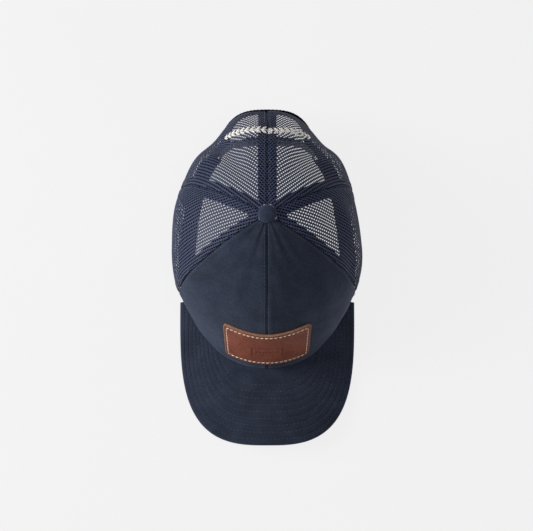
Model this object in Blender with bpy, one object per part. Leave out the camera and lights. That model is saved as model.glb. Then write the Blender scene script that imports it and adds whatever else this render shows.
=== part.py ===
"""Trucker cap: two cloth front panels, four mesh panels, a curved visor and a plastic snap closure.

Every length is in millimetres and turns into metres when an object is made. The cap is drawn level,
with its base ring in the plane z = 0, the visor towards -Y and +X the wearer's left. It is then tipped
back by REST_TILT, as it lies on a table: on the visor's two sides and on the back of the ring.
"""

import math

import bmesh
import bpy
import numpy as np
from mathutils import Matrix, Vector

MM = 0.001
GAP = 0.3
VISOR_CLEARANCE = 0.8

# Base ring: half an ellipse in front, a squarer curve behind, narrower towards the back.
RING_HALF_WIDTH = 75.5
RING_FRONT = 107.0
RING_REAR = 112.0
RING_TAPER = 0.13
FRONT_EXPONENT = 2.0
REAR_EXPONENT = 2.7

# Crown: meridian curves that run from the ring up to the point under the button.
CROWN_HEIGHT = 126.0
BUTTON_Y = 6.0
FRONT_PANEL_WIDTH = 111.0
SIDE_PANEL_WIDTH = 84.0
CORNER_SETBACK = 7.0
SEAM_SPLIT = 0.15
FRONT_PROFILE = (0.84, 62.0, 0.62, 127.0)
SIDE_PROFILE = (1.35, 44.0, 0.80, 122.0)
REAR_PROFILE = (1.46, 38.0, 0.70, 110.0)
FRONT_SPREAD = 1.2
PANEL_TOP = 0.975
PANEL_ROWS = 12
PUFF = 1.6
PUFF_TOP = 0.87
PINCH_DEPTH = 13.0
PINCH_WIDTH = 21.0
PINCH_PLACE = 14.0
PINCH_TOP = 0.85

# Sheet thicknesses and the depth of each layer below the crown's outer face.
CLOTH = 0.8
TAPE = 0.6
LAYER_GAP = 0.5
SECOND_LAYER = CLOTH + LAYER_GAP
THIRD_LAYER = SECOND_LAYER + TAPE + LAYER_GAP
TAPE_WIDTH = 15.0
SWEATBAND_HEIGHT = 32.0
SWEATBAND_DEPTH = 4.4
SWEATBAND_THICKNESS = 1.2
SWEATBAND_LEAN = 6.0
SWEATBAND_DIP = 20.0
STIFFENER_INSET = 2.0
STIFFENER_FOOT = 0.015
TAPE_FOOT = 0.02
TAPE_ABOVE_HEM = 0.005
TAPE_ABOVE_ARCH = 0.06
LEAST_ROW = 0.01
HEM_TAPE_GAP = 1.0
SWEATBAND_GAP = 3.0

# Visor: an arch across, pitched down towards the front.
VISOR_HALF_WIDTH = 79.6
VISOR_REACH = 130.9
VISOR_SIDE_EXPONENT = 2.8
VISOR_FRONT_EXPONENT = 3.5
VISOR_ARCH_RADIUS = 158.0
VISOR_PITCH = 0.12
VISOR_ROOT_DEPTH = 3.9
VISOR_BOARD = 1.8
BOARD_INSET = 1.4

# Leather patch, low on the front panels.
PATCH_WIDTH_TOP = 80.0
PATCH_WIDTH_BOTTOM = 76.0
PATCH_HEIGHT = 46.0
PATCH_RISE = 10.8
PATCH_THICKNESS = 2.0
PATCH_CORNER = 4.0
PATCH_STEP = 0.002

# Rear opening, its binding and the embroidery above it.
OPENING_HALF_WIDTH = 36.0
ARCH_TOP = 0.28
ARCH_STEPS = 9
BINDING_WIDTH = 6.0
BINDING_GAP = 1.1
EMBROIDERY_HALF_WIDTH = 46.0
EMBROIDERY_LOW = 0.55
EMBROIDERY_DROP = 0.17
EMBROIDERY_HEIGHT = 9.0
REAR_HEIGHT_PER_S = 150.0

# Snap closure: two flat straps on upright hinge lines at the sides of the opening.
STRAP_THICKNESS = 1.4
STRAP_HEIGHT = 18.0
STRAP_BOTTOM = 1.5
STRAP_RADIUS = 220.0
STRAP_TAB = 15.0
STRAP_END_RADIUS = 7.0
STRAP_TIP_INSET = 8.0
STRAP_JOG = 7.0
TAB_REACH = 2.0
HINGE_OFFSET = 1.1
PEG_COUNT = 6
PEG_PITCH = 7.0
PEG_RADIUS = 1.9
HOLE_RADIUS = 2.7
PEG_PROUD = 0.8
PEG_ROOT = 0.2
HOLE_CUT = (-4.0, 12.0)

# Button and its back washer.
BUTTON_RADIUS = 8.2
BUTTON_HEIGHT = 4.6
BUTTON_RIM = 0.8
SHANK_RADIUS = 1.8
SHANK_LENGTH = 7.0
WASHER_RADIUS = 6.5
WASHER_THICKNESS = 1.0

# Care label, on the sweatband's inner face.
LABEL_WIDTH = 26.0
LABEL_HEIGHT = 15.0
LABEL_THICKNESS = 0.5
LABEL_PLACE = 175.0

# The pose at rest, as an angle about X.
REST_TILT = math.radians(3.4036)

NAVY_CLOTH = ((0.020, 0.030, 0.055), 0.9, 0.0)
NAVY_MESH = ((0.018, 0.028, 0.060), 0.6, 0.0)
DARK_TAPE = ((0.012, 0.018, 0.038), 0.85, 0.0)
STIFFENER = ((0.30, 0.30, 0.29), 0.9, 0.0)
LEATHER = ((0.21, 0.065, 0.032), 0.45, 0.0)
CREAM_THREAD = ((0.75, 0.70, 0.60), 0.7, 0.0)
BLACK_PLASTIC = ((0.016, 0.022, 0.036), 0.45, 0.0)
BOARD_PLASTIC = ((0.55, 0.55, 0.53), 0.6, 0.0)
STEEL = ((0.55, 0.56, 0.58), 0.35, 1.0)
LABEL_CLOTH = ((0.62, 0.62, 0.60), 0.8, 0.0)


def signed_power(value, exponent):
    return math.copysign(abs(value) ** exponent, value)


def smoothstep(value):
    t = min(max(value, 0.0), 1.0)
    return t * t * (3.0 - 2.0 * t)


class Track:
    """A plan curve from (0, y) on one side of the cap, measured by the distance along it."""

    def __init__(self, curve, samples=800):
        self.points = np.array([curve(i / samples) for i in range(samples + 1)])
        steps = np.linalg.norm(np.diff(self.points, axis=0), axis=1)
        self.distances = np.concatenate([[0.0], np.cumsum(steps)])
        self.length = float(self.distances[-1])

    def at(self, distance):
        """The point at a distance from the middle; negative distances are on the wearer's right."""
        x = np.interp(abs(distance), self.distances, self.points[:, 0])
        y = np.interp(abs(distance), self.distances, self.points[:, 1])
        return Vector((math.copysign(float(x), distance), float(y)))

    def inward(self, distance, depth):
        """The point at a distance along the curve, moved inwards by a depth."""
        step = 0.5
        low = max(abs(distance) - step, 0.0) if distance else -step
        high = min(abs(distance) + step, self.length)
        tangent = (self.at(high) - self.at(low)).normalized()
        normal = Vector((tangent.y, -tangent.x))
        place = self.at(abs(distance)) - normal * depth
        return Vector((math.copysign(place.x, distance) if distance else 0.0, place.y))


def ring_curve(fraction):
    """Half of the base ring, from the middle of the front to the middle of the back."""
    angle = math.pi * (fraction - 0.5)
    exponent = 2.0 / (FRONT_EXPONENT if angle < 0 else REAR_EXPONENT)
    across = signed_power(math.cos(angle), exponent) if fraction < 1 else 0.0
    along = signed_power(math.sin(angle), exponent)
    length = RING_FRONT if angle < 0 else RING_REAR
    return (RING_HALF_WIDTH * across * (1 - RING_TAPER * along), length * along)


RING = Track(ring_curve)
FRONT_SIDE_SEAM = FRONT_PANEL_WIDTH
VISOR_CORNER = FRONT_PANEL_WIDTH - CORNER_SETBACK
REAR_SIDE_SEAM = FRONT_PANEL_WIDTH + SIDE_PANEL_WIDTH
REAR_SEAM = RING.length
OPENING_EDGE = REAR_SEAM - OPENING_HALF_WIDTH
CORNER = RING.at(VISOR_CORNER)
VISOR_TOP = CORNER.x**2 / (2 * VISOR_ARCH_RADIUS) - VISOR_PITCH * (CORNER.y + RING_FRONT)


def visor_height(x, y):
    """Height of the visor's upper face: it meets the ring's plane at the visor's corners."""
    return VISOR_TOP - x * x / (2 * VISOR_ARCH_RADIUS) + VISOR_PITCH * (y + RING_FRONT)


def base_height(distance):
    """Height of the crown's lower edge: level, but raised along the arch of the visor."""
    if abs(distance) >= VISOR_CORNER:
        return 0.0
    place = RING.at(distance)
    return max(visor_height(place.x, place.y) + VISOR_CLEARANCE, 0.0)


def profile(place):
    """The meridian's two inner control points above a place on the ring, as (reach, height) pairs."""
    front = smoothstep(max(-place.y / RING_FRONT, 0.0) ** FRONT_SPREAD)
    rear = max(place.y / RING_REAR, 0.0) ** 2
    side = 1.0 - front - rear
    return [
        front * f + side * s + rear * r
        for f, s, r in zip(FRONT_PROFILE, SIDE_PROFILE, REAR_PROFILE)
    ]


def relief(distance, s):
    """How far the mesh stands out between its seams, less the pinch beside the rear opening."""
    d = abs(distance)
    body = math.sin(math.pi * min(s / PUFF_TOP, 1.0))
    out = 0.0
    if d > FRONT_SIDE_SEAM:
        start, end = (
            (FRONT_SIDE_SEAM, REAR_SIDE_SEAM) if d < REAR_SIDE_SEAM else (REAR_SIDE_SEAM, REAR_SEAM)
        )
        out = PUFF * math.sin(math.pi * (d - start) / (end - start)) ** 2
    beside = math.exp(-(((d + PINCH_PLACE - OPENING_EDGE) / PINCH_WIDTH) ** 2))
    pinch = beside * math.sin(math.pi * min(s / PINCH_TOP, 1.0))
    return out * body - PINCH_DEPTH * pinch


def crown_face(distance, s):
    """A point of the crown's outer face: s runs from 0 at the lower edge to 1 under the button.

    A distance past the middle of the back comes round again on the other side.
    """
    if abs(distance) > REAR_SEAM:
        distance -= math.copysign(2 * REAR_SEAM, distance)
    place = RING.at(distance)
    reach_low, low, reach_high, high = profile(place)
    foot = base_height(distance)
    t = 1.0 - s
    reach = t**3 + 3 * t * t * s * reach_low + 3 * t * s * s * reach_high
    z = t**3 * foot + 3 * t * t * s * low + 3 * t * s * s * high + s**3 * CROWN_HEIGHT
    spoke = place - Vector((0.0, BUTTON_Y))
    plan = Vector((0.0, BUTTON_Y)) + spoke * reach + spoke.normalized() * relief(distance, s)
    return Vector((plan.x, plan.y, z))


def crown(distance, s, depth=0.0):
    """A point at a depth below the crown's outer face; a negative depth stands out of it."""
    step_d, step_s = 0.4, 0.004
    across = crown_face(distance + step_d, s) - crown_face(distance - step_d, s)
    up = crown_face(distance, min(s + step_s, 1.0)) - crown_face(distance, max(s - step_s, 0.0))
    return crown_face(distance, s) - across.cross(up).normalized() * depth


def stretch(distance, s):
    """Width on the crown at s for each millimetre along the ring."""
    return (crown_face(distance + 0.5, s) - crown_face(distance - 0.5, s)).length


def s_at_height(distance, height):
    """The s at which the crown's face reaches a height."""
    low, high = 0.0, 0.9
    for _ in range(30):
        middle = (low + high) / 2
        if crown_face(distance, middle).z < height:
            low = middle
        else:
            high = middle
    return low


def spread(first, last, count):
    """count + 1 evenly spaced numbers."""
    return [first + (last - first) * i / count for i in range(count + 1)]


def material(name, finish):
    colour, roughness, metallic = finish
    made = bpy.data.materials.new(name)
    made.use_nodes = True
    shader = made.node_tree.nodes["Principled BSDF"]
    shader.inputs["Base Color"].default_value = (*colour, 1.0)
    shader.inputs["Roughness"].default_value = roughness
    shader.inputs["Metallic"].default_value = metallic
    return made


def make_object(name, mesh_builder, finish, origin=(0.0, 0.0, 0.0), smooth=True):
    """Turn a bmesh in millimetres into a named object in metres, with its origin at a point."""
    origin = Vector(origin)
    bmesh.ops.remove_doubles(mesh_builder, verts=mesh_builder.verts, dist=0.0005)
    bmesh.ops.recalc_face_normals(mesh_builder, faces=mesh_builder.faces)
    bmesh.ops.translate(mesh_builder, verts=mesh_builder.verts, vec=-origin)
    bmesh.ops.scale(mesh_builder, verts=mesh_builder.verts, vec=(MM, MM, MM))
    mesh = bpy.data.meshes.new(name)
    mesh_builder.to_mesh(mesh)
    mesh_builder.free()
    mesh.materials.append(material(name, finish))
    if smooth:
        mesh.shade_smooth()
        mesh.set_sharp_from_angle(angle=math.radians(40))
    made = bpy.data.objects.new(name, mesh)
    made.location = origin * MM
    bpy.context.scene.collection.objects.link(made)
    return made


def slab(outer, inner):
    """A closed sheet between two grids of points, each a list of equal rows."""
    made = bmesh.new()
    rows, columns = len(outer), len(outer[0])
    layers = [[[made.verts.new(p) for p in row] for row in grid] for grid in (outer, inner)]
    for layer in layers:
        for i in range(rows - 1):
            for j in range(columns - 1):
                made.faces.new(
                    (layer[i][j], layer[i][j + 1], layer[i + 1][j + 1], layer[i + 1][j])
                )
    top, bottom = layers
    rim = [(0, j) for j in range(columns)]
    rim += [(i, columns - 1) for i in range(1, rows)]
    rim += [(rows - 1, j) for j in range(columns - 2, -1, -1)]
    rim += [(i, 0) for i in range(rows - 2, 0, -1)]
    for (a, b), (c, d) in zip(rim, rim[1:] + rim[:1]):
        made.faces.new((top[a][b], top[c][d], bottom[c][d], bottom[a][b]))
    return made


def crown_slab(grid, depth, thickness):
    """A closed sheet that follows the crown below its face, from a grid of (distance, s)."""
    outer = [[crown(d, s, depth) for d, s in row] for row in grid]
    inner = [[crown(d, s, depth + thickness) for d, s in row] for row in grid]
    return slab(outer, inner)


def arch_at(distance):
    """The s of the rear opening's edge above a distance along the ring."""
    reach = (REAR_SEAM - abs(distance)) / OPENING_HALF_WIDTH
    return ARCH_TOP * math.sqrt(max(1.0 - reach * reach, 0.0))


def side_name(side):
    return "left" if side > 0 else "right"


def panel_grid(columns, low=lambda d: 0.0):
    """Rows of (distance, s) from a lower edge up to the button."""
    return [
        [(d, low(d) + (PANEL_TOP - low(d)) * f) for d in columns]
        for f in spread(0.0, 1.0, PANEL_ROWS)
    ]


def row_s(row):
    """The s of one of the rows that all the panels share."""
    return PANEL_TOP * row / PANEL_ROWS


def side_columns():
    return spread(FRONT_SIDE_SEAM + SEAM_SPLIT, REAR_SIDE_SEAM - SEAM_SPLIT, 8)


def rear_columns():
    """Columns crowd towards the foot of the arch, where its edge is steep."""
    flank = spread(REAR_SIDE_SEAM + SEAM_SPLIT, OPENING_EDGE, 7)[:-1]
    arch = [REAR_SEAM - OPENING_HALF_WIDTH * math.cos(a) for a in spread(0.0, math.pi / 2, ARCH_STEPS)]
    arch[-1] -= SEAM_SPLIT
    return flank + arch


def front_panels():
    for side in (1, -1):
        columns = spread(side * SEAM_SPLIT, side * (FRONT_SIDE_SEAM - SEAM_SPLIT), 11)
        grid = panel_grid(columns)
        make_object(f"front_panel_{side_name(side)}", crown_slab(grid, 0.0, CLOTH), NAVY_CLOTH)


def front_stiffeners():
    end = FRONT_SIDE_SEAM - 2 * STIFFENER_INSET
    for side in (1, -1):
        columns = spread(side * STIFFENER_INSET, side * end, 11)
        levels = [STIFFENER_FOOT] + [row_s(row) for row in range(1, PANEL_ROWS)]
        grid = [[(d, s) for d in columns] for s in levels]
        made = crown_slab(grid, SECOND_LAYER, TAPE)
        make_object(f"front_stiffener_{side_name(side)}", made, STIFFENER)


def side_mesh_panels():
    for side in (1, -1):
        grid = panel_grid([side * d for d in side_columns()])
        make_object(f"side_mesh_{side_name(side)}", crown_slab(grid, 0.0, CLOTH), NAVY_MESH)


def rear_mesh_panels():
    for side in (1, -1):
        grid = panel_grid([side * d for d in rear_columns()], low=arch_at)
        make_object(f"rear_mesh_{side_name(side)}", crown_slab(grid, 0.0, CLOTH), NAVY_MESH)


def seam_tape(name, seam, low, depth):
    """A tape of even width behind a seam, from an s near its foot to just below the button."""
    grid = []
    levels = [row_s(row) for row in range(1, PANEL_ROWS)]
    for s in [low] + [s for s in levels if s > low + LEAST_ROW]:
        half = TAPE_WIDTH / 2 / stretch(seam, s)
        grid.append([(seam + half * f, s) for f in (-1.0, 0.0, 1.0)])
    make_object(name, crown_slab(grid, depth, TAPE), DARK_TAPE)


def seam_tapes():
    above_hem = row_s(1) + TAPE_ABOVE_HEM
    above_arch = ARCH_TOP + TAPE_ABOVE_ARCH
    seam_tape("seam_tape_front", 0.0, TAPE_FOOT, THIRD_LAYER)
    seam_tape("seam_tape_rear", REAR_SEAM, above_arch, SECOND_LAYER)
    for side in (1, -1):
        name = side_name(side)
        front_seam, rear_seam = side * FRONT_SIDE_SEAM, side * REAR_SIDE_SEAM
        seam_tape(f"seam_tape_front_side_{name}", front_seam, TAPE_FOOT, THIRD_LAYER)
        seam_tape(f"seam_tape_rear_side_{name}", rear_seam, above_hem, SECOND_LAYER)


def hem_tapes():
    """The tape that stiffens the mesh's lower edge, from the front panel to the opening."""
    end = OPENING_EDGE - BINDING_WIDTH - HEM_TAPE_GAP
    columns = side_columns() + [d for d in rear_columns() if d < end - 2 * HEM_TAPE_GAP] + [end]
    for side in (1, -1):
        grid = [[(side * d, s) for d in columns] for s in (0.0, row_s(1))]
        made = crown_slab(grid, SECOND_LAYER, TAPE)
        make_object(f"hem_tape_{side_name(side)}", made, DARK_TAPE)


def sweatband_foot(distance):
    """The band reaches down over the visor's root in front, and to the ring's plane elsewhere."""
    root = smoothstep((VISOR_CORNER - abs(distance)) / SWEATBAND_DIP)
    return base_height(distance) - root * (2 * CLOTH + VISOR_BOARD)


def sweatband_column(distance, depth):
    """Foot, middle and top of the band's face at a depth behind the ring."""
    foot = RING.inward(distance, SWEATBAND_DEPTH + depth)
    low = sweatband_foot(distance)
    height = base_height(distance) + SWEATBAND_HEIGHT
    face = crown_face(distance, s_at_height(distance, height))
    spoke = RING.at(distance) - Vector((0.0, BUTTON_Y))
    lean = max(spoke.length - (Vector((face.x, face.y)) - Vector((0.0, BUTTON_Y))).length, 0.0)
    head = foot - spoke.normalized() * (lean + SWEATBAND_LEAN)
    return [
        Vector((*foot.lerp(head, f), low + (height - low) * f)) for f in (0.0, 0.5, 1.0)
    ]


def sweatband():
    end = OPENING_EDGE - STRAP_TAB - SWEATBAND_GAP
    columns = spread(-end, end, 56)
    outer = [sweatband_column(d, 0.0) for d in columns]
    inner = [sweatband_column(d, SWEATBAND_THICKNESS) for d in columns]
    make_object("sweatband", slab(outer, inner), DARK_TAPE)


def visor_edge_curve(fraction):
    """Half of the visor's outer edge, from its tip to its corner."""
    angle = math.pi / 2 * fraction
    x = VISOR_HALF_WIDTH * signed_power(math.sin(angle), 2 / VISOR_SIDE_EXPONENT)
    y = CORNER.y - VISOR_REACH * signed_power(math.cos(angle), 2 / VISOR_FRONT_EXPONENT)
    return (x, y if fraction < 1 else CORNER.y)


VISOR_EDGE = Track(visor_edge_curve)


def visor_sheet(top, thickness, inset):
    """A sheet of the visor at a depth below its upper face, drawn in from the outer edge."""
    outer, inner = [], []
    for across in spread(-1.0, 1.0, 28):
        root = RING.inward(across * VISOR_CORNER, VISOR_ROOT_DEPTH)
        edge = VISOR_EDGE.inward(across * VISOR_EDGE.length, inset)
        line = [root.lerp(edge, f) for f in spread(0.0, 1.0, 7)]
        outer.append([Vector((*p, visor_height(*p) - top)) for p in line])
        inner.append([Vector((*p, visor_height(*p) - top - thickness)) for p in line])
    return slab(outer, inner)


def visor():
    board_top = CLOTH + GAP
    under_top = board_top + VISOR_BOARD + GAP
    make_object("visor_top_cover", visor_sheet(0.0, CLOTH, 0.0), NAVY_CLOTH)
    make_object("visor_board", visor_sheet(board_top, VISOR_BOARD, BOARD_INSET), BOARD_PLASTIC)
    make_object("visor_under_cover", visor_sheet(under_top, CLOTH, 0.0), NAVY_CLOTH)


def leather_patch():
    """A rectangle with rounded corners, wrapped on the front panels."""
    low = s_at_height(0.0, base_height(0.0) + PATCH_RISE)
    high = low + PATCH_STEP
    while (crown_face(0.0, high) - crown_face(0.0, low)).length < PATCH_HEIGHT:
        high += PATCH_STEP
    grid = []
    for f in spread(0.0, 1.0, 8):
        width = PATCH_WIDTH_BOTTOM + (PATCH_WIDTH_TOP - PATCH_WIDTH_BOTTOM) * f
        from_edge = PATCH_HEIGHT * min(f, 1.0 - f)
        drop = max(PATCH_CORNER - from_edge, 0.0)
        half = width / 2 - (PATCH_CORNER - math.sqrt(PATCH_CORNER**2 - drop**2))
        s = low + (high - low) * f
        reach = half / stretch(0.0, s)
        grid.append([(reach * g, s) for g in spread(-1.0, 1.0, 12)])
    made = crown_slab(grid, -GAP - PATCH_THICKNESS, PATCH_THICKNESS)
    make_object("leather_patch", made, LEATHER)


def opening_binding():
    """A folded tape that grips the mesh along the arch: a U in section, open away from the arch."""
    outer_face, fold = -BINDING_GAP - TAPE, GAP + TAPE
    inner_face = CLOTH + BINDING_GAP + TAPE
    section = [
        (BINDING_WIDTH, outer_face),
        (-fold, outer_face),
        (-fold, inner_face),
        (BINDING_WIDTH, inner_face),
        (BINDING_WIDTH, inner_face - TAPE),
        (-GAP, inner_face - TAPE),
        (-GAP, outer_face + TAPE),
        (BINDING_WIDTH, outer_face + TAPE),
    ]
    stations = []
    for angle in spread(0.0, math.pi, 2 * ARCH_STEPS):
        away, up = -math.cos(angle), math.sin(angle)
        loop = []
        for width, depth in section:
            d = REAR_SEAM + away * (OPENING_HALF_WIDTH + width)
            s = up * (ARCH_TOP + width / REAR_HEIGHT_PER_S)
            loop.append(crown(d, s, depth))
        stations.append(loop)
    make_object("opening_binding", tube(stations), DARK_TAPE)


def tube(stations):
    """A closed solid through a row of equal loops, capped at both ends."""
    made = bmesh.new()
    loops = [[made.verts.new(p) for p in loop] for loop in stations]
    count = len(loops[0])
    for a, b in zip(loops, loops[1:]):
        for i in range(count):
            j = (i + 1) % count
            made.faces.new((a[i], a[j], b[j], b[i]))
    for cap in (loops[0], loops[-1]):
        made.faces.new(cap)
    return made


def rear_embroidery():
    """The ground of the stitching that arches over the rear opening."""
    grid = []
    for f in spread(0.0, 1.0, 2):
        row = []
        for across in spread(-1.0, 1.0, 18):
            low = EMBROIDERY_LOW - EMBROIDERY_DROP * across**2
            s = low + EMBROIDERY_HEIGHT * f / REAR_HEIGHT_PER_S
            reach = across * EMBROIDERY_HALF_WIDTH / stretch(REAR_SEAM, s)
            row.append((REAR_SEAM + reach, s))
        grid.append(row)
    outer = [[crown(d, s, -GAP - TAPE) for d, s in row] for row in grid]
    inner = [[crown(d, s, -GAP) for d, s in row] for row in grid]
    make_object("rear_embroidery", slab(outer, inner), CREAM_THREAD)


def extruded(outline, low, high):
    """A solid between two heights over a plan outline."""
    made = bmesh.new()
    floor = [made.verts.new((x, y, low)) for x, y in outline]
    face = made.faces.new(floor)
    raised = bmesh.ops.extrude_face_region(made, geom=[face])["geom"]
    lifted = [v for v in raised if isinstance(v, bmesh.types.BMVert)]
    bmesh.ops.translate(made, verts=lifted, vec=(0.0, 0.0, high - low))
    return made


def strap_hinge(side):
    """The plan point of a strap's hinge line, just inside the rear opening."""
    place = RING.inward(side * (OPENING_EDGE + TAB_REACH), THIRD_LAYER + STRAP_THICKNESS / 2)
    return Vector((place.x - side * HINGE_OFFSET, place.y))


def strap_tab(side, name):
    """The sewn root of a strap, between the mesh and the sweatband."""
    distances = spread(OPENING_EDGE - STRAP_TAB, OPENING_EDGE + TAB_REACH, 3)
    outer = [RING.inward(side * d, THIRD_LAYER) for d in distances]
    inner = [RING.inward(side * d, THIRD_LAYER + STRAP_THICKNESS) for d in distances]
    made = extruded(outer + inner[::-1], STRAP_BOTTOM, STRAP_BOTTOM + STRAP_HEIGHT)
    make_object(name, made, BLACK_PLASTIC, smooth=False)


def strap_bow(x, hinge):
    """How far a strap's middle line stands behind its hinge."""
    return (hinge.x**2 - x * x) / (2 * STRAP_RADIUS)


def strap(side, name, jog, tip):
    """A strap from its hinge to its tip; jog is how far it steps out to pass over the other."""
    hinge = strap_hinge(side)
    half = STRAP_THICKNESS / 2
    middle = []
    for x in spread(hinge.x, tip, 14):
        step = jog * smoothstep((abs(hinge.x - x) - STRAP_THICKNESS) / STRAP_JOG)
        middle.append(Vector((x, hinge.y + strap_bow(x, hinge) + step)))
    outline = [p + Vector((0.0, half)) for p in middle]
    outline += [p - Vector((0.0, half)) for p in reversed(middle)]
    outline += [
        hinge + Vector((side * half * math.sin(a), -half * math.cos(a)))
        for a in spread(0.0, math.pi, 4)[1:-1]
    ]
    made = extruded(outline, STRAP_BOTTOM, STRAP_BOTTOM + STRAP_HEIGHT)
    corners = [
        e
        for e in made.edges
        if all(abs(v.co.x - tip) < 0.01 for v in e.verts)
        and abs(e.verts[0].co.z - e.verts[1].co.z) < 0.01
    ]
    bmesh.ops.bevel(
        made, geom=corners, offset=STRAP_END_RADIUS, segments=4, affect="EDGES", profile=0.5
    )
    origin = (hinge.x, hinge.y, STRAP_BOTTOM + STRAP_HEIGHT / 2)
    return make_object(name, made, BLACK_PLASTIC, origin=origin)


def peg_row(name, radius, near, far):
    """Round bars along Y at each peg, between two planes; a tool for the straps."""
    made = bmesh.new()
    height = STRAP_BOTTOM + STRAP_HEIGHT / 2
    for i in range(PEG_COUNT):
        x = (i - (PEG_COUNT - 1) / 2) * PEG_PITCH
        place = Matrix.Translation((x, (near + far) / 2, height))
        bmesh.ops.create_cone(
            made,
            cap_ends=True,
            segments=16,
            radius1=radius,
            radius2=radius,
            depth=far - near,
            matrix=place @ Matrix.Rotation(math.pi / 2, 4, "X"),
        )
    tool = make_object(name, made, BLACK_PLASTIC)
    tool.hide_render = True
    tool.display_type = "WIRE"
    return tool


def combine(target, tool, operation):
    made = target.modifiers.new(operation.title(), "BOOLEAN")
    made.object = tool
    made.operation = operation
    made.solver = "EXACT"


def snap_closure():
    """The wearer's right strap carries the pegs, and the left one passes over it with the holes."""
    step_out = STRAP_THICKNESS + GAP
    hinge = strap_hinge(1)
    pegs = strap(-1, "peg_strap", 0.0, hinge.x - STRAP_TIP_INSET)
    holes = strap(1, "hole_strap", step_out, STRAP_TIP_INSET - hinge.x)
    strap_tab(-1, "peg_strap_tab")
    strap_tab(1, "hole_strap_tab")
    rest = hinge.y + strap_bow(0.0, hinge)
    ends = (hinge.y + PEG_ROOT, rest + step_out + STRAP_THICKNESS / 2 + PEG_PROUD)
    cut = [hinge.y + reach for reach in HOLE_CUT]
    combine(pegs, peg_row("peg_tool", PEG_RADIUS, *ends), "UNION")
    combine(holes, peg_row("hole_tool", HOLE_RADIUS, *cut), "DIFFERENCE")


def lathe(outline, centre, sides=28):
    """A solid of revolution about an upright axis; the outline is a closed row of (radius, height)."""
    made = bmesh.new()
    loops = []
    for radius, height in outline:
        angles = spread(0.0, 2 * math.pi, sides)[:-1] if radius else [0.0]
        loops.append([
            made.verts.new((centre[0] + radius * math.cos(a), centre[1] + radius * math.sin(a), height))
            for a in angles
        ])
    for a, b in zip(loops, loops[1:] + loops[:1]):
        for i in range(sides):
            j = (i + 1) % sides
            corners = [a[i % len(a)], a[j % len(a)], b[j % len(b)], b[i % len(b)]]
            distinct = list(dict.fromkeys(corners))
            if len(distinct) > 2:
                made.faces.new(distinct)
    return made


def crown_button():
    """A cloth-covered dome on a shank, and the washer that clinches it inside the crown."""
    base = CROWN_HEIGHT + GAP
    dome = [
        (BUTTON_RADIUS * math.cos(a), base + BUTTON_RIM + (BUTTON_HEIGHT - BUTTON_RIM) * math.sin(a))
        for a in spread(0.0, math.pi / 2, 6)[:-1]
    ]
    foot = base - SHANK_LENGTH
    outline = [(0, foot), (SHANK_RADIUS, foot), (SHANK_RADIUS, base)]
    outline += [(BUTTON_RADIUS - BUTTON_RIM, base)] + dome + [(0, base + BUTTON_HEIGHT)]
    centre = (0.0, BUTTON_Y)
    make_object("crown_button", lathe(outline, centre), NAVY_CLOTH)
    top = CROWN_HEIGHT - THIRD_LAYER - TAPE - 4 * GAP
    bore = SHANK_RADIUS + GAP
    washer = [
        (bore, top),
        (WASHER_RADIUS, top),
        (WASHER_RADIUS, top - WASHER_THICKNESS),
        (bore, top - WASHER_THICKNESS),
    ]
    make_object("button_washer", lathe(washer, centre), STEEL)


def care_label():
    """A folded woven label on the inner face of the sweatband, at the wearer's left."""
    columns = spread(LABEL_PLACE - LABEL_WIDTH / 2, LABEL_PLACE + LABEL_WIDTH / 2, 4)
    low = (1.0 - LABEL_HEIGHT / SWEATBAND_HEIGHT) / 2

    def face(depth):
        grid = []
        for d in columns:
            foot, _, head = sweatband_column(d, SWEATBAND_THICKNESS + depth)
            grid.append([foot.lerp(head, f) for f in (low, 1.0 - low)])
        return grid

    make_object("care_label", slab(face(GAP), face(GAP + LABEL_THICKNESS)), LABEL_CLOTH)


def lay_on_table():
    """Tip the cap back, stand it on z = 0 and centre its box on the origin."""
    made = list(bpy.context.scene.objects)
    tip = Matrix.Rotation(-REST_TILT, 4, "X")
    for piece in made:
        piece.matrix_world = tip @ Matrix.Translation(piece.location)
    bpy.context.view_layer.update()
    shown = [o for o in made if not o.hide_render]
    points = np.array([o.matrix_world @ v.co for o in shown for v in o.data.vertices])
    low, high = points.min(axis=0), points.max(axis=0)
    shift = Vector((-(low[0] + high[0]) / 2, -(low[1] + high[1]) / 2, -low[2]))
    for piece in made:
        piece.matrix_world = Matrix.Translation(shift) @ piece.matrix_world


def main():
    for old in list(bpy.data.objects):
        bpy.data.objects.remove(old, do_unlink=True)
    front_panels()
    front_stiffeners()
    side_mesh_panels()
    rear_mesh_panels()
    seam_tapes()
    hem_tapes()
    sweatband()
    visor()
    leather_patch()
    opening_binding()
    rear_embroidery()
    snap_closure()
    crown_button()
    care_label()
    lay_on_table()


main()
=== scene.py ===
"""Looks of the trucker cap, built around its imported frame: cloth, net, leather, thread and plastic.

Shapes are drawn in millimetres in the cap's level frame, in which the base ring lies in z = 0, the
visor points to -Y and +X is the wearer's left. to_world() tips them back to the pose in which the cap
rests, and turns them into metres. A point of the crown is named by its distance along the base ring
from the middle of the front (positive on the wearer's left) and by s, which runs from 0 at the lower
edge to 1 under the button.
"""

import math

import bmesh
import bpy
import numpy as np
from mathutils import Matrix, Vector


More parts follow.
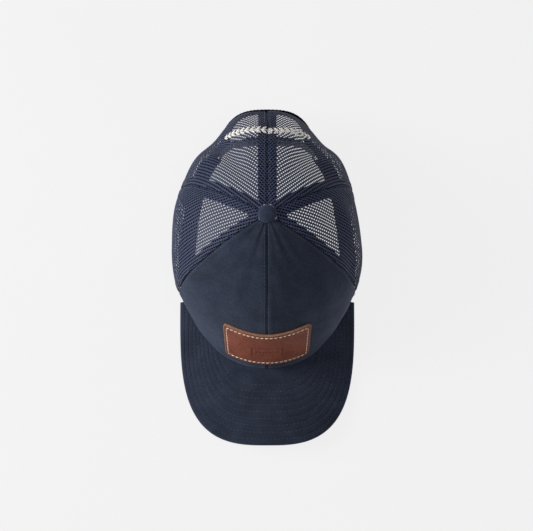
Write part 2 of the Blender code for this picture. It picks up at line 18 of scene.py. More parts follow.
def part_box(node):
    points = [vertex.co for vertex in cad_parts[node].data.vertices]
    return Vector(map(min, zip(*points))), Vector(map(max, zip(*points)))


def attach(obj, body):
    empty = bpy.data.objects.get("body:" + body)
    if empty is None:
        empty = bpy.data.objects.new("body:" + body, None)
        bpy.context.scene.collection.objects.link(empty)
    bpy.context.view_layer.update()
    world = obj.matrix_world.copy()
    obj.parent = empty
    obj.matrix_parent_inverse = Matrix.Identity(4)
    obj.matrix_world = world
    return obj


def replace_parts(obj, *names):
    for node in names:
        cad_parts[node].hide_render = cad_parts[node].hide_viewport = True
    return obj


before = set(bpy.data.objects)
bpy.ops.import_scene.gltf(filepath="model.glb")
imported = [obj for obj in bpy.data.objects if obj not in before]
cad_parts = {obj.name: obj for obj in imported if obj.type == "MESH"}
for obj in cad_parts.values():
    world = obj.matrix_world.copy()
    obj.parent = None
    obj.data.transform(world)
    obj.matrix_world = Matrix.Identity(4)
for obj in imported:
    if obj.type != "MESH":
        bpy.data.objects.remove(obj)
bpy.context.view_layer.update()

MM = 0.001

# The crown's shape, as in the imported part.
RING_HALF_WIDTH = 75.5
RING_FRONT = 107.0
RING_REAR = 112.0
RING_TAPER = 0.13
FRONT_EXPONENT = 2.0
REAR_EXPONENT = 2.7
CROWN_HEIGHT = 126.0
BUTTON_Y = 6.0
FRONT_PANEL_WIDTH = 111.0
SIDE_PANEL_WIDTH = 84.0
CORNER_SETBACK = 7.0
FRONT_PROFILE = (0.84, 62.0, 0.62, 127.0)
SIDE_PROFILE = (1.35, 44.0, 0.80, 122.0)
REAR_PROFILE = (1.46, 38.0, 0.70, 110.0)
FRONT_SPREAD = 1.2
PANEL_TOP = 0.975
PUFF = 1.6
PUFF_TOP = 0.87
PINCH_DEPTH = 13.0
PINCH_WIDTH = 21.0
PINCH_PLACE = 14.0
PINCH_TOP = 0.85
OPENING_HALF_WIDTH = 36.0
ARCH_TOP = 0.28
REAR_HEIGHT_PER_S = 150.0

# The slump of the worn mesh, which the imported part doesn't have.
BELLY = 4.6
BELLY_PLACE = 172.0
BELLY_WIDTH = 24.0

# The crown's layers, as depths below its face, and what lies behind them.
CLOTH = 0.8
TAPE = 0.6
SECOND_LAYER = 1.3
THIRD_LAYER = 2.4
TAPE_WIDTH = 16.5
SWEATBAND_HEIGHT = 32.0
SWEATBAND_DEPTH = 4.4
SWEATBAND_THICKNESS = 1.2
SWEATBAND_LEAN = 6.0
SWEATBAND_DIP = 20.0
SWEATBAND_HEM_FOLD = 3.1
STRAP_TAB = 15.0

# Visor.
VISOR_THICKNESS = 4.0
VISOR_BOARD = 1.8
VISOR_CLEARANCE = 0.8
VISOR_HALF_WIDTH = 79.6
VISOR_REACH = 130.9
VISOR_SIDE_EXPONENT = 2.8
VISOR_FRONT_EXPONENT = 3.5
VISOR_ARCH_RADIUS = 158.0
VISOR_PITCH = 0.12
VISOR_ROOT_DEPTH = 3.9
VISOR_ROLL = 2.0
VISOR_SEAM_GAP = 0.15
VISOR_ROWS = 9
VISOR_FIRST_ROW = 5.5
VISOR_ROW_STEP = 6.0

# Leather patch.
PATCH_WIDTH_TOP = 80.0
PATCH_WIDTH_BOTTOM = 76.0
PATCH_HEIGHT = 46.0
PATCH_RISE = 10.8
PATCH_THICKNESS = 2.0
PATCH_CORNER = 4.0
PATCH_STITCH_INSET = 3.2

# The net: rows of staggered oval holes.
NET_PITCH = 2.4
NET_ROW = 2.8
NET_HOLE = (0.76, 0.64)
NET_THICKNESS = 0.6
NET_INSET = 0.1
NET_MARGIN = 0.3
SEPARATOR_CREST = 0.3
SIDE_ROW_LEAN = 10.0

# Embroidery at the back.
EMBROIDERY_HALF_WIDTH = 46.0
EMBROIDERY_LOW = 0.55
EMBROIDERY_DROP = 0.17
EMBROIDERY_HEIGHT = 9.0

# The button, and the washer that gives the level frame's place.
BUTTON_RADIUS = 8.2
BUTTON_HEIGHT = 4.6
WASHER_CENTRE = Vector((0.0, BUTTON_Y, 121.3))

SIDES = ((1, "left"), (-1, "right"))
REST_TILT = math.radians(3.4036)
TIP = Matrix.Rotation(-REST_TILT, 3, "X")


def level_origin():
    """The level frame's origin in the world: the washer's centre is known in both."""
    low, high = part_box("button_washer")
    return (low + high) / 2 - TIP @ (WASHER_CENTRE * MM)


ORIGIN = level_origin()


def to_world(points):
    return np.asarray(points) * MM @ np.array(TIP).T + np.array(ORIGIN)


# ---------------- the crown's surface


def smoothstep(value):
    t = np.clip(value, 0.0, 1.0)
    return t * t * (3.0 - 2.0 * t)


def signed_power(value, exponent):
    return np.sign(value) * np.abs(value) ** exponent


def bell(x, width):
    """1 at x = 0, falling smoothly to nothing over about twice a width."""
    return np.exp(-((x / width) ** 2))


def unit(vectors):
    return vectors / np.linalg.norm(vectors, axis=-1, keepdims=True)


def run_along(points):
    """Distance from the first point of a row to each of its points, along the row."""
    steps = np.linalg.norm(np.diff(points, axis=0), axis=1)
    return np.concatenate([[0.0], np.cumsum(steps)])


class Track:
    """A plan curve from (0, y) on one side of the cap, measured by the distance along it."""

    def __init__(self, points):
        self.points = points
        self.distances = run_along(points)
        self.length = self.distances[-1]

    def at(self, distance):
        distance = np.asarray(distance, float)
        x = np.interp(np.abs(distance), self.distances, self.points[:, 0])
        y = np.interp(np.abs(distance), self.distances, self.points[:, 1])
        return np.stack([np.copysign(x, distance), y], axis=-1)

    def inward(self, distance, depth):
        """Points moved towards the inside by a depth, square to the curve."""
        step = 0.5
        tangent = unit(self.at(distance + step) - self.at(distance - step))
        away = np.stack([tangent[..., 1], -tangent[..., 0]], axis=-1)
        return self.at(distance) - away * depth


def ring_points(samples=800):
    fraction = np.linspace(0.0, 1.0, samples + 1)
    angle = math.pi * (fraction - 0.5)
    exponent = np.where(angle < 0, 2.0 / FRONT_EXPONENT, 2.0 / REAR_EXPONENT)
    across = np.maximum(np.cos(angle), 0.0) ** exponent
    across[-1] = 0.0
    along = signed_power(np.sin(angle), exponent)
    length = np.where(angle < 0, RING_FRONT, RING_REAR)
    x = RING_HALF_WIDTH * across * (1 - RING_TAPER * along)
    return np.stack([x, length * along], axis=-1)


RING = Track(ring_points())
FRONT_SIDE_SEAM = FRONT_PANEL_WIDTH
VISOR_CORNER = FRONT_PANEL_WIDTH - CORNER_SETBACK
REAR_SIDE_SEAM = FRONT_PANEL_WIDTH + SIDE_PANEL_WIDTH
REAR_SEAM = RING.length
OPENING_EDGE = REAR_SEAM - OPENING_HALF_WIDTH
CORNER = RING.at(VISOR_CORNER)
VISOR_TOP = CORNER[0] ** 2 / (2 * VISOR_ARCH_RADIUS) - VISOR_PITCH * (CORNER[1] + RING_FRONT)
SEAMS = (0.0, FRONT_SIDE_SEAM, REAR_SIDE_SEAM, REAR_SEAM)


def visor_height(x, y):
    return VISOR_TOP - x * x / (2 * VISOR_ARCH_RADIUS) + VISOR_PITCH * (y + RING_FRONT)


def base_height(distance):
    """Height of the crown's lower edge: level, but raised along the arch of the visor."""
    place = RING.at(distance)
    raised = visor_height(place[..., 0], place[..., 1]) + VISOR_CLEARANCE
    return np.where(np.abs(distance) < VISOR_CORNER, np.maximum(raised, 0.0), 0.0)


def relief(distance, s):
    """How far the mesh stands out between its seams, less the pinch beside the rear opening."""
    d = np.abs(distance)
    start = np.where(d < REAR_SIDE_SEAM, FRONT_SIDE_SEAM, REAR_SIDE_SEAM)
    end = np.where(d < REAR_SIDE_SEAM, REAR_SIDE_SEAM, REAR_SEAM)
    swell = PUFF * np.sin(math.pi * (d - start) / (end - start)) ** 2
    swell = np.where(d > FRONT_SIDE_SEAM, swell, 0.0)
    body = np.sin(math.pi * np.minimum(s / PUFF_TOP, 1.0))
    beside = bell(d + PINCH_PLACE - OPENING_EDGE, PINCH_WIDTH)
    return swell * body - PINCH_DEPTH * beside * np.sin(math.pi * np.minimum(s / PINCH_TOP, 1.0))


def slump(distance, s):
    """The soft mesh of the worn cap bellies out on the wearer's right, behind the middle."""
    beside = bell(distance + BELLY_PLACE, BELLY_WIDTH)
    return BELLY * beside * np.sin(math.pi * np.minimum(s / PUFF_TOP, 1.0)) ** 1.5


def crown_face(distance, s):
    """Points of the crown's outer face. Past the middle of the back they come round again."""
    distance, s = np.broadcast_arrays(np.asarray(distance, float), np.asarray(s, float))
    past = np.abs(distance) > REAR_SEAM
    distance = np.where(past, distance - np.copysign(2 * REAR_SEAM, distance), distance)
    place = RING.at(distance)
    front = smoothstep(np.maximum(-place[..., 1] / RING_FRONT, 0.0) ** FRONT_SPREAD)
    rear = np.maximum(place[..., 1] / RING_REAR, 0.0) ** 2
    side = 1.0 - front - rear
    reach_low, low, reach_high, high = (
        front * f + side * m + rear * r
        for f, m, r in zip(FRONT_PROFILE, SIDE_PROFILE, REAR_PROFILE)
    )
    t = 1.0 - s
    reach = t**3 + 3 * t * t * s * reach_low + 3 * t * s * s * reach_high
    z = t**3 * base_height(distance) + 3 * t * t * s * low + 3 * t * s * s * high
    z = z + s**3 * CROWN_HEIGHT
    centre = np.array([0.0, BUTTON_Y])
    spoke = place - centre
    away = relief(distance, s) + slump(distance, s)
    plan = centre + spoke * reach[..., None] + unit(spoke) * away[..., None]
    return np.concatenate([plan, z[..., None]], axis=-1)


def crown_normal(distance, s):
    step_d, step_s = 0.4, 0.004
    across = crown_face(distance + step_d, s) - crown_face(distance - step_d, s)
    above = crown_face(distance, np.minimum(s + step_s, 1.0))
    below = crown_face(distance, np.maximum(s - step_s, 0.0))
    return unit(np.cross(across, above - below))


def crown(distance, s, depth=0.0):
    """Points at a depth below the crown's outer face; a negative depth stands out of it."""
    depth = np.asarray(depth, float)[..., None]
    return crown_face(distance, s) - crown_normal(distance, s) * depth


def stretch(distance, s):
    """Width on the crown for each millimetre along the ring."""
    return np.linalg.norm(crown_face(distance + 0.5, s) - crown_face(distance - 0.5, s), axis=-1)


def s_at_height(distance, height):
    """The s at which the crown's face reaches a height."""
    levels = np.linspace(0.0, 0.9, 600)
    return float(np.interp(height, crown_face(distance, levels)[:, 2], levels))


def arch_at(distance):
    """The s of the rear opening's edge above a distance along the ring."""
    reach = (REAR_SEAM - np.abs(distance)) / OPENING_HALF_WIDTH
    return ARCH_TOP * np.sqrt(np.maximum(1.0 - reach * reach, 0.0))


def from_seam(distance, s, seam):
    """Distance on the crown from a seam, in millimetres."""
    return np.abs(np.abs(distance) - seam) * stretch(seam, s)


def ripple(x, y, size, seed):
    """Smooth irregular waves between about -1 and 1, with bumps of about a given size."""
    total = 0.0
    for k in range(5):
        angle = seed * 1.7 + k * 2.399
        wave = 2 * math.pi / (size * (0.75 + 0.17 * k))
        total = total + np.sin((x * math.cos(angle) + y * math.sin(angle)) * wave + seed * 3.1 + k)
    return total / 2.6


# ---------------- meshes


def add_object(name, data):
    made = bpy.data.objects.new(name, data)
    bpy.context.scene.collection.objects.link(made)
    return made


def weld(mesh, change):
    """Join a mesh's doubled points, then make a further change to it."""
    working = bmesh.new()
    working.from_mesh(mesh)
    bmesh.ops.remove_doubles(working, verts=working.verts, dist=1e-6)
    change(working)
    working.to_mesh(mesh)
    working.free()


def face_outwards(working):
    bmesh.ops.recalc_face_normals(working, faces=working.faces)


def smooth(mesh, degrees):
    """Smooth shading, except across edges sharper than an angle."""
    mesh.shade_smooth()
    mesh.set_sharp_from_angle(angle=math.radians(degrees))


def make_piece(name, points, faces, finish, uv=None):
    """A smooth-shaded object from points in the level frame; uv gives each point's place in metres."""
    mesh = bpy.data.meshes.new(name)
    mesh.from_pydata(to_world(points).tolist(), [], [tuple(f) for f in faces])
    if uv is not None:
        corners = np.zeros(len(mesh.loops), dtype=int)
        mesh.loops.foreach_get("vertex_index", corners)
        layer = mesh.uv_layers.new(name="cloth")
        layer.data.foreach_set("uv", (np.asarray(uv)[corners] * MM).ravel())
    weld(mesh, face_outwards)
    smooth(mesh, 60)
    mesh.materials.append(finish)
    piece = add_object(name, mesh)
    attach(piece, "cap")
    return piece


def grid_normals(points):
    """Normals of a grid of points, on the side from which its rows turn anticlockwise."""
    along = np.gradient(points, axis=0)
    across = np.gradient(points, axis=1)
    return unit(np.cross(across, along))


def slab(outer, inner):
    """Points and faces of a closed sheet between two grids."""
    rows, columns = outer.shape[:2]
    index = np.arange(rows * columns).reshape(rows, columns)
    quads = np.stack([index[:-1, :-1], index[:-1, 1:], index[1:, 1:], index[1:, :-1]], axis=-1)
    quads = quads.reshape(-1, 4)
    rim = np.concatenate([index[0, :-1], index[:-1, -1], index[-1, :0:-1], index[:0:-1, 0]])
    onward = np.roll(rim, -1)
    under = rows * columns
    walls = np.stack([rim, rim + under, onward + under, onward], axis=-1)
    points = np.concatenate([outer.reshape(-1, 3), inner.reshape(-1, 3)])
    return points, np.concatenate([quads, quads[:, ::-1] + under, walls])


def ring_faces(index):
    """Quads between the rows of a grid of point numbers whose columns close into a ring."""
    onward = np.roll(index, -1, axis=1)
    return np.stack([index[:-1], onward[:-1], onward[1:], index[1:]], axis=-1).reshape(-1, 4).tolist()


def paired(across, along):
    """One array of (across, along) pairs, from two arrays of matching shapes."""
    return np.stack(np.broadcast_arrays(across, along), axis=-1)


def sheet_piece(name, outer, inner, uv, finish):
    """A closed sheet between two grids, with the same uv on both of its faces."""
    points, faces = slab(outer, inner)
    flat = uv.reshape(-1, 2)
    return make_piece(name, points, faces, finish, uv=np.concatenate([flat, flat]))


def crown_sheet(name, d, s, depth, thickness, lift, finish):
    """A sheet that follows the crown at a depth; lift raises its points out of the crown."""
    outer = crown(d, s, depth - lift)
    inner = crown(d, s, depth + thickness - lift)
    return sheet_piece(name, outer, inner, paired(stretch(d, s) * d, s * REAR_HEIGHT_PER_S), finish)


STITCH_RINGS = 5
STITCH_SIDES = 6
SEAM_THREAD_RADIUS = 0.17
BAND_THREAD_RADIUS = 0.18
VISOR_THREAD_RADIUS = 0.19
SADDLE_THREAD_RADIUS = 0.42


def stitch_rows(name, rows, radius, finish, length=2.6, gap=0.8, slant=0.0):
    """Threads along rows of (points, normals): each stitch rises out of the cloth and dives back."""
    centres, normals = [], []
    for points, ups in rows:
        run = run_along(points)
        count = max(int(round(run[-1] / (length + gap))), 1)
        pitch = run[-1] / count
        starts = (np.arange(count) + 0.5) * pitch - length / 2
        stations = starts[:, None] + np.linspace(0.0, length, STITCH_RINGS)
        place = np.stack([np.interp(stations, run, points[:, k]) for k in range(3)], axis=-1)
        up = unit(np.stack([np.interp(stations, run, ups[:, k]) for k in range(3)], axis=-1))
        aside = np.cross(up, unit(place[:, -1:] - place[:, :1]))
        place = place + aside * np.linspace(-slant, slant, STITCH_RINGS)[None, :, None]
        centres.append(place)
        normals.append(up)
    return threads(name, np.concatenate(centres), np.concatenate(normals), radius, finish)


def threads(name, centres, normals, radius, finish):
    """One piece of many short threads; centres and normals are (thread, ring, xyz) arrays."""
    count, rings = centres.shape[:2]
    t = np.linspace(0.0, 1.0, rings)
    rise = radius * (1.5 * np.sin(math.pi * t) ** 0.7 - 0.8)
    girth = radius * (0.45 + 0.55 * np.sin(math.pi * t) ** 0.5)
    along = unit(centres[:, -1:] - centres[:, :1])
    aside = np.cross(along, normals)
    centres = centres + normals * rise[None, :, None]
    angle = np.arange(STITCH_SIDES) * 2 * math.pi / STITCH_SIDES
    turn = normals[:, :, None] * np.sin(angle)[:, None] + aside[:, :, None] * np.cos(angle)[:, None]
    points = centres[:, :, None] + turn * girth[None, :, None, None]
    index = np.arange(count * rings * STITCH_SIDES).reshape(count, rings, STITCH_SIDES)
    onward = np.roll(index, -1, axis=2)
    sides = np.stack([index[:, :-1], onward[:, :-1], onward[:, 1:], index[:, 1:]], axis=-1)
    faces = sides.reshape(-1, 4).tolist()
    faces += index[:, 0, ::-1].tolist() + index[:, -1].tolist()
    return make_piece(name, points.reshape(-1, 3), faces, finish)


def crown_row(distances, levels, lift):
    """A row for stitch_rows that runs over the crown, a little above its face."""
    d, s = np.broadcast_arrays(distances, np.asarray(levels, float))
    return crown(d, s, -lift), crown_normal(d, s)


# ---------------- materials


def node(tree, kind, settings=None, **inputs):
    """Add a shader node; an input is a value or another node's output, by the socket's name."""
    made = tree.nodes.new("ShaderNode" + kind)
    for key, value in (settings or {}).items():
        setattr(made, key, value)
    for key, value in inputs.items():
        socket = made.inputs[int(key[1:])] if key[0] == "_" else made.inputs[key.replace("_", " ")]
        if isinstance(value, bpy.types.NodeSocket):
            tree.links.new(value, socket)
        else:
            socket.default_value = value
    return made


class Finish:
    """A procedural material in the making; place is the object's own coordinates."""

    def __init__(self, name, roughness, metallic=0.0, sheen=0.0, tint=(1.0, 1.0, 1.0), specular=0.5):
        self.made = bpy.data.materials.new(name)
        self.made.use_nodes = True
        self.tree = self.made.node_tree
        self.shader = self.tree.nodes["Principled BSDF"]
        settings = {"Roughness": roughness, "Metallic": metallic, "Specular IOR Level": specular,
                    "Sheen Weight": sheen, "Sheen Roughness": 0.45, "Sheen Tint": (*tint, 1.0)}
        for socket, value in settings.items():
            self.shader.inputs[socket].default_value = value
        self.place = self.node("TexCoord").outputs["Object"]

    def node(self, kind, settings=None, **inputs):
        return node(self.tree, kind, settings, **inputs)

    def link(self, output, socket):
        self.tree.links.new(output, self.shader.inputs[socket])

    def cloth(self):
        """Coordinates along the sheet."""
        return self.node("UVMap", {"uv_map": "cloth"}).outputs[0]

    def noise(self, per_metre, detail=3.0, roughness=0.55):
        made = self.node("TexNoise", Vector=self.place, Scale=per_metre, Detail=detail, Roughness=roughness)
        return made.outputs["Fac"]

    def remap(self, value, low, high, first=0.0, last=1.0):
        """Rescale a value from one range to another."""
        return self.node("MapRange", _0=value, _1=low, _2=high, _3=first, _4=last).outputs["Result"]

    def over(self, base, factor, colour):
        """Lay a colour over another by a factor."""
        return self.node("Mix", {"data_type": "RGBA"}, _0=factor, _6=base, _7=(*colour, 1.0)).outputs[2]

    def ramp(self, factor, low, high, dark, light):
        """Blend two colours as a factor runs between two values."""
        return self.over((*dark, 1.0), self.remap(factor, low, high), light)

    def wave(self, vector, turn, per_metre, distortion=0.0):
        """Fine parallel ribs, turned in the plane of the coordinates."""
        turned = self.node("Mapping", Vector=vector, Rotation=(0.0, 0.0, turn)).outputs[0]
        scale = per_metre / 20.0 * math.pi
        made = self.node("TexWave", Vector=turned, Scale=scale, Distortion=distortion, Detail=1.0)
        return made.outputs["Fac"]

    def bump(self, *heights):
        """Chain bumps of (height socket, depth in metres) into the shader's normal."""
        made = None
        for height, depth in heights:
            below = {"Normal": made.outputs["Normal"]} if made else {}
            made = self.node("Bump", Height=height, Strength=1.0, Distance=depth, **below)
        self.link(made.outputs["Normal"], "Normal")

    def done(self, colour, *heights, roughness=None):
        """The finished material: its colour, its bumps and, where it varies, its roughness."""
        self.link(colour, "Base Color")
        if roughness:
            self.link(roughness, "Roughness")
        self.bump(*heights)
        return self.made


def brushed_cotton(name, lift=1.0):
    """Navy cotton with a short raised nap: mottled where the nap lies in different directions.
    Lift lightens the whole of it: painted light, for a copy of the same cloth where it is lit more."""
    made = Finish(name, 0.95, sheen=0.17, tint=(0.55, 0.68, 1.0), specular=0.15)
    patches = made.noise(55.0, 4.0, 0.6)
    nap = made.noise(900.0, 4.0, 0.7)
    base = made.ramp(patches, 0.35, 0.68, (0.0150, 0.0195, 0.0330), (0.0235, 0.0305, 0.0500))
    low, high = (0.55 * lift,) * 3, (1.35 * lift, 1.35 * lift, 1.4 * lift)
    specks = made.ramp(nap, 0.30, 0.75, low, high)
    mixing = {"data_type": "RGBA", "blend_type": "MULTIPLY"}
    colour = made.node("Mix", mixing, _0=1.0, _6=base, _7=specks).outputs[2]
    fibre = made.noise(2600.0, 2.0, 0.6)
    twill = made.wave(made.cloth(), math.radians(55), 1400.0, distortion=1.2)
    return made.done(colour, (patches, 0.0012), (nap, 0.0003), (fibre, 0.00015), (twill, 0.00005))


def net_yarn(name):
    """Navy polyester yarn of the mesh, with painted bluish highlights scattered at random and painted shade
    down in the holes.
    """
    made = Finish(name, 0.6, specular=0.16)
    strands = made.noise(1500.0, 3.0, 0.6)
    crest = made.node("SeparateXYZ", _0=made.cloth()).outputs["Y"]
    # The light end of this ramp is painted highlight: bright bluish flecks at random, standing in for light
    # caught by the yarn.
    fibres_with_painted_highlights = made.ramp(strands, 0.3, 0.7, (0.025, 0.034, 0.069), (0.062, 0.080, 0.154))
    # Painted shade: the yarn is darkened towards each hole, by how far it lies below the crest of its
    # ridge.
    base = made.over(fibres_with_painted_highlights, made.remap(crest, 0.15, 0.85, 1.0, 0.0), (0.004, 0.0055, 0.012))
    # Broad random patches pull the yarn towards a middle navy, softening its painted highlights and its
    # painted shade.
    worn = made.remap(made.noise(40.0, 2.0), 0.4, 0.7, 0.0, 0.2)
    return made.done(made.over(base, worn, (0.026, 0.036, 0.070)), (strands, 0.0002))


def woven_tape(name, dark, light, ribs=900.0):
    """A tape with a fine rib across it and some lint on it."""
    made = Finish(name, 0.9, sheen=0.05, tint=(0.6, 0.7, 1.0), specular=0.15)
    cloth = made.cloth()
    rib = made.wave(cloth, math.radians(90), ribs)
    cross = made.wave(cloth, 0.0, ribs * 0.8)
    weave = made.node("Math", {"operation": "MULTIPLY"}, _0=rib, _1=cross).outputs[0]
    lint = made.noise(700.0)
    colour = made.ramp(weave, 0.1, 0.8, dark, light)
    linty = made.over(colour, made.remap(lint, 0.5, 0.8, 0.0, 0.4), light)
    return made.done(linty, (weave, 0.0002), (lint, 0.0001))


def thread_yarn(name, dark, light):
    """Twisted sewing thread."""
    made = Finish(name, 0.55, sheen=0.3)
    colour = made.ramp(made.noise(350.0, 2.0), 0.35, 0.7, dark, light)
    return made.done(colour, (made.wave(made.place, math.radians(40), 2200.0), 0.0001))


def leather(name):
    """Red-brown leather: fine grain, darker pores, and a smooth worn sheen."""
    made = Finish(name, 0.5, specular=0.22)
    warp = made.node("TexNoise", Vector=made.place, Scale=300.0).outputs["Color"]
    bent = made.node("Mix", {"data_type": "VECTOR"}, _0=0.0015, _4=made.place, _5=warp).outputs[1]
    pebbles = made.node("TexVoronoi", Vector=bent, Scale=900.0).outputs["Distance"]
    pores = made.noise(1700.0, 3.0, 0.7)
    clouds = made.noise(70.0, 5.0, 0.6)
    base = made.ramp(clouds, 0.3, 0.75, (0.150, 0.040, 0.023), (0.285, 0.084, 0.047))
    dark = made.remap(pebbles, 0.25, 0.6, 0.0, 0.55)
    colour = made.over(base, dark, (0.095, 0.026, 0.015))
    roughness = made.remap(pores, 0.3, 0.7, 0.42, 0.62)
    heights = (clouds, 0.0006), (pebbles, -0.00012), (pores, 0.00006)
    return made.done(colour, *heights, roughness=roughness)


def burnished_edge(name):
    """The cut edge of the leather, rubbed and waxed."""
    made = Finish(name, 0.5, specular=0.25)
    layers = made.noise(500.0, 4.0, 0.65)
    colour = made.ramp(layers, 0.3, 0.7, (0.16, 0.072, 0.033), (0.29, 0.150, 0.075))
    return made.done(colour, (layers, 0.0002))


def moulded_plastic(name, dark, light, roughness):
    made = Finish(name, roughness)
    cloud = made.noise(120.0)
    grain = made.noise(2200.0, 2.0)
    colour = made.ramp(cloud, 0.3, 0.7, dark, light)
    gloss = made.remap(grain, 0.0, 1.0, roughness - 0.08, roughness + 0.1)
    return made.done(colour, (cloud, 0.0001), (grain, 0.00002), roughness=gloss)


def stamped_steel(name):
    made = Finish(name, 0.3, metallic=1.0)
    scratches = made.noise(1800.0, 2.0)
    stains = made.noise(260.0, 4.0)
    colour = made.ramp(stains, 0.35, 0.75, (0.42, 0.43, 0.45), (0.62, 0.62, 0.64))
    gloss = made.remap(scratches, 0.0, 1.0, 0.2, 0.5)
    return made.done(colour, (scratches, 0.00003), roughness=gloss)


PAPER_GLOW = 0.825
# The painted shadow under the cap: how much the paper glows there, the ellipse's centre and its reach.
SHADE_GLOW = 0.62
SHADE_CENTRE = (0.0, 0.032)
SHADE_REACH = (0.080, 0.120)


def floor_finish(name):
    """Seamless paper that glows, so that shadows on it stay faint; under the cap its glow is dimmed, a
    painted shadow.
    """
    made = Finish(name, 0.9)
    colour = made.ramp(made.noise(6.0), 0.3, 0.7, (0.040,) * 3, (0.044,) * 3)
    made.link(colour, "Base Color")
    made.shader.inputs["Emission Color"].default_value = (1.0, 1.0, 1.0, 1.0)
    # Painted shadow: an ellipse round the cap's footprint where the paper glows less.
    centred = made.node("VectorMath", {"operation": "SUBTRACT"}, _0=made.place, _1=(*SHADE_CENTRE, 0.0))
    share = (1 / SHADE_REACH[0], 1 / SHADE_REACH[1], 1.0)
    scaled = made.node("VectorMath", {"operation": "MULTIPLY"}, _0=centred.outputs[0], _1=share)
    away = made.node("VectorMath", {"operation": "LENGTH"}, _0=scaled.outputs[0]).outputs["Value"]
    made.link(made.remap(away, 0.85, 1.06, SHADE_GLOW, PAPER_GLOW), "Emission Strength")
    return made.made


COTTON = brushed_cotton("brushed_navy_cotton")
# The button is the same cotton painted lighter: painted light for its dome, which the lamps light more than
# the panels.
PAINTED_LIGHT_BUTTON_COTTON = brushed_cotton("button_cotton_painted_light", lift=1.4)
YARN = net_yarn("navy_net_yarn")
DARK_TWILL = woven_tape("navy_twill_tape", (0.002, 0.003, 0.006), (0.007, 0.010, 0.019))
SWEAT_CLOTH = woven_tape("navy_sweatband_cloth", (0.004, 0.0055, 0.010), (0.013, 0.018, 0.031), 1100.0)
BUCKRAM = woven_tape("buckram", (0.10, 0.10, 0.105), (0.33, 0.33, 0.33), 650.0)
LABEL_WEAVE = woven_tape("woven_label", (0.42, 0.42, 0.41), (0.66, 0.66, 0.64), 1500.0)
NAVY_THREAD = thread_yarn("navy_thread", (0.020, 0.027, 0.048), (0.042, 0.055, 0.092))
VISOR_THREAD = thread_yarn("visor_thread", (0.010, 0.0135, 0.025), (0.021, 0.028, 0.048))
CREAM_THREAD = thread_yarn("cream_thread", (0.52, 0.42, 0.31), (0.80, 0.72, 0.60))
EMBROIDERY_THREAD = thread_yarn("white_thread", (0.66, 0.63, 0.57), (0.90, 0.88, 0.83))
LEATHER = leather("brown_leather")
LEATHER_EDGE = burnished_edge("burnished_leather_edge")
SNAP_PLASTIC = moulded_plastic("navy_plastic", (0.012, 0.016, 0.028), (0.020, 0.026, 0.042), 0.4)
BOARD_PLASTIC = moulded_plastic("white_board", (0.50, 0.50, 0.48), (0.60, 0.60, 0.58), 0.6)
STEEL = stamped_steel("washer_steel")


# ---------------- front panels


SEAM_SPLIT = 0.12
SEAM_DIP = 1.2
SEAM_WIDTH = 0.8
SEAM_SWELL = 0.3
SWELL_PLACE = 3.2
SWELL_WIDTH = 2.4
PUCKER = 0.07
PUCKER_PITCH = 3.4
PUCKER_WIDTH = 3.0
PANEL_WAVES = (0.35, 34.0)
HEM_TURN = (0.5, 1.3)
STIFFENER_INSET = 2.0
STIFFENER_FOOT = 0.015
STIFFENER_RIB = 0.1
STIFFENER_WEAVE = (1.9, 2.0)


def panel_grid(first, last, low, columns, rows):
    """Distances and levels of an even grid between two seams, from a level up to the button."""
    d = np.linspace(first, last, columns)[None, :]
    f = np.linspace(0.0, 1.0, rows)[:, None]
    return np.broadcast_arrays(d, low + (PANEL_TOP - low) * f)


def seam_roll(distance, s, seams):
    """How far the cloth dips into its seams, with a soft swell and puckers beside each."""
    pucker = PUCKER * np.cos(s * REAR_HEIGHT_PER_S * 2 * math.pi / PUCKER_PITCH)
    lift = 0.0
    for seam in seams:
        x = from_seam(distance, s, seam)
        lift = lift - SEAM_DIP * bell(x, SEAM_WIDTH) + SEAM_SWELL * bell(x - SWELL_PLACE, SWELL_WIDTH)
        lift = lift + pucker * bell(x, PUCKER_WIDTH)
    return lift


def front_panels():
    """The two cloth panels, and behind each its stiffener of open weave."""
    depth, size = PANEL_WAVES
    turn, width = HEM_TURN
    warp, weft = STIFFENER_WEAVE
    for side, word in SIDES:
        d, s = panel_grid(side * SEAM_SPLIT, side * (FRONT_SIDE_SEAM - SEAM_SPLIT), 0.0, 110, 150)
        climb = s * REAR_HEIGHT_PER_S
        lift = seam_roll(d, s, (0.0, FRONT_SIDE_SEAM)) + depth * ripple(d, climb, size, 1 + side)
        lift = lift - turn * bell(climb, width)
        panel = crown_sheet(f"cotton_front_{word}", d, s, 0.0, CLOTH, lift, COTTON)
        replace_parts(panel, f"front_panel_{word}")
        end = FRONT_SIDE_SEAM - 2 * STIFFENER_INSET
        d, s = panel_grid(side * STIFFENER_INSET, side * end, STIFFENER_FOOT, 56, 70)
        across = np.sin(d * math.pi / warp * stretch(d, s))
        ribs = STIFFENER_RIB * across * np.sin(s * REAR_HEIGHT_PER_S * math.pi / weft)
        lift, thickness = ribs - STIFFENER_RIB, TAPE - STIFFENER_RIB
        stiff = crown_sheet(f"buckram_{word}", d, s, SECOND_LAYER, thickness, lift, BUCKRAM)
        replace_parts(stiff, f"front_stiffener_{word}")


STITCH_OFFSET = 2.4
STITCH_LIFT = 0.25
STITCH_FOOT = 0.02
STITCH_TOP = 0.94
HEM_STITCH_HEIGHT = 9.5
HEM_END = 7.0


def stitches_beside(side, seam, way, low, samples):
    """A row up the crown beside a seam; way is 1 on the seam's rearward side."""
    s = np.linspace(low, STITCH_TOP, samples)
    d = side * (seam + way * STITCH_OFFSET / stretch(seam, s))
    return crown_row(d, s, STITCH_LIFT)


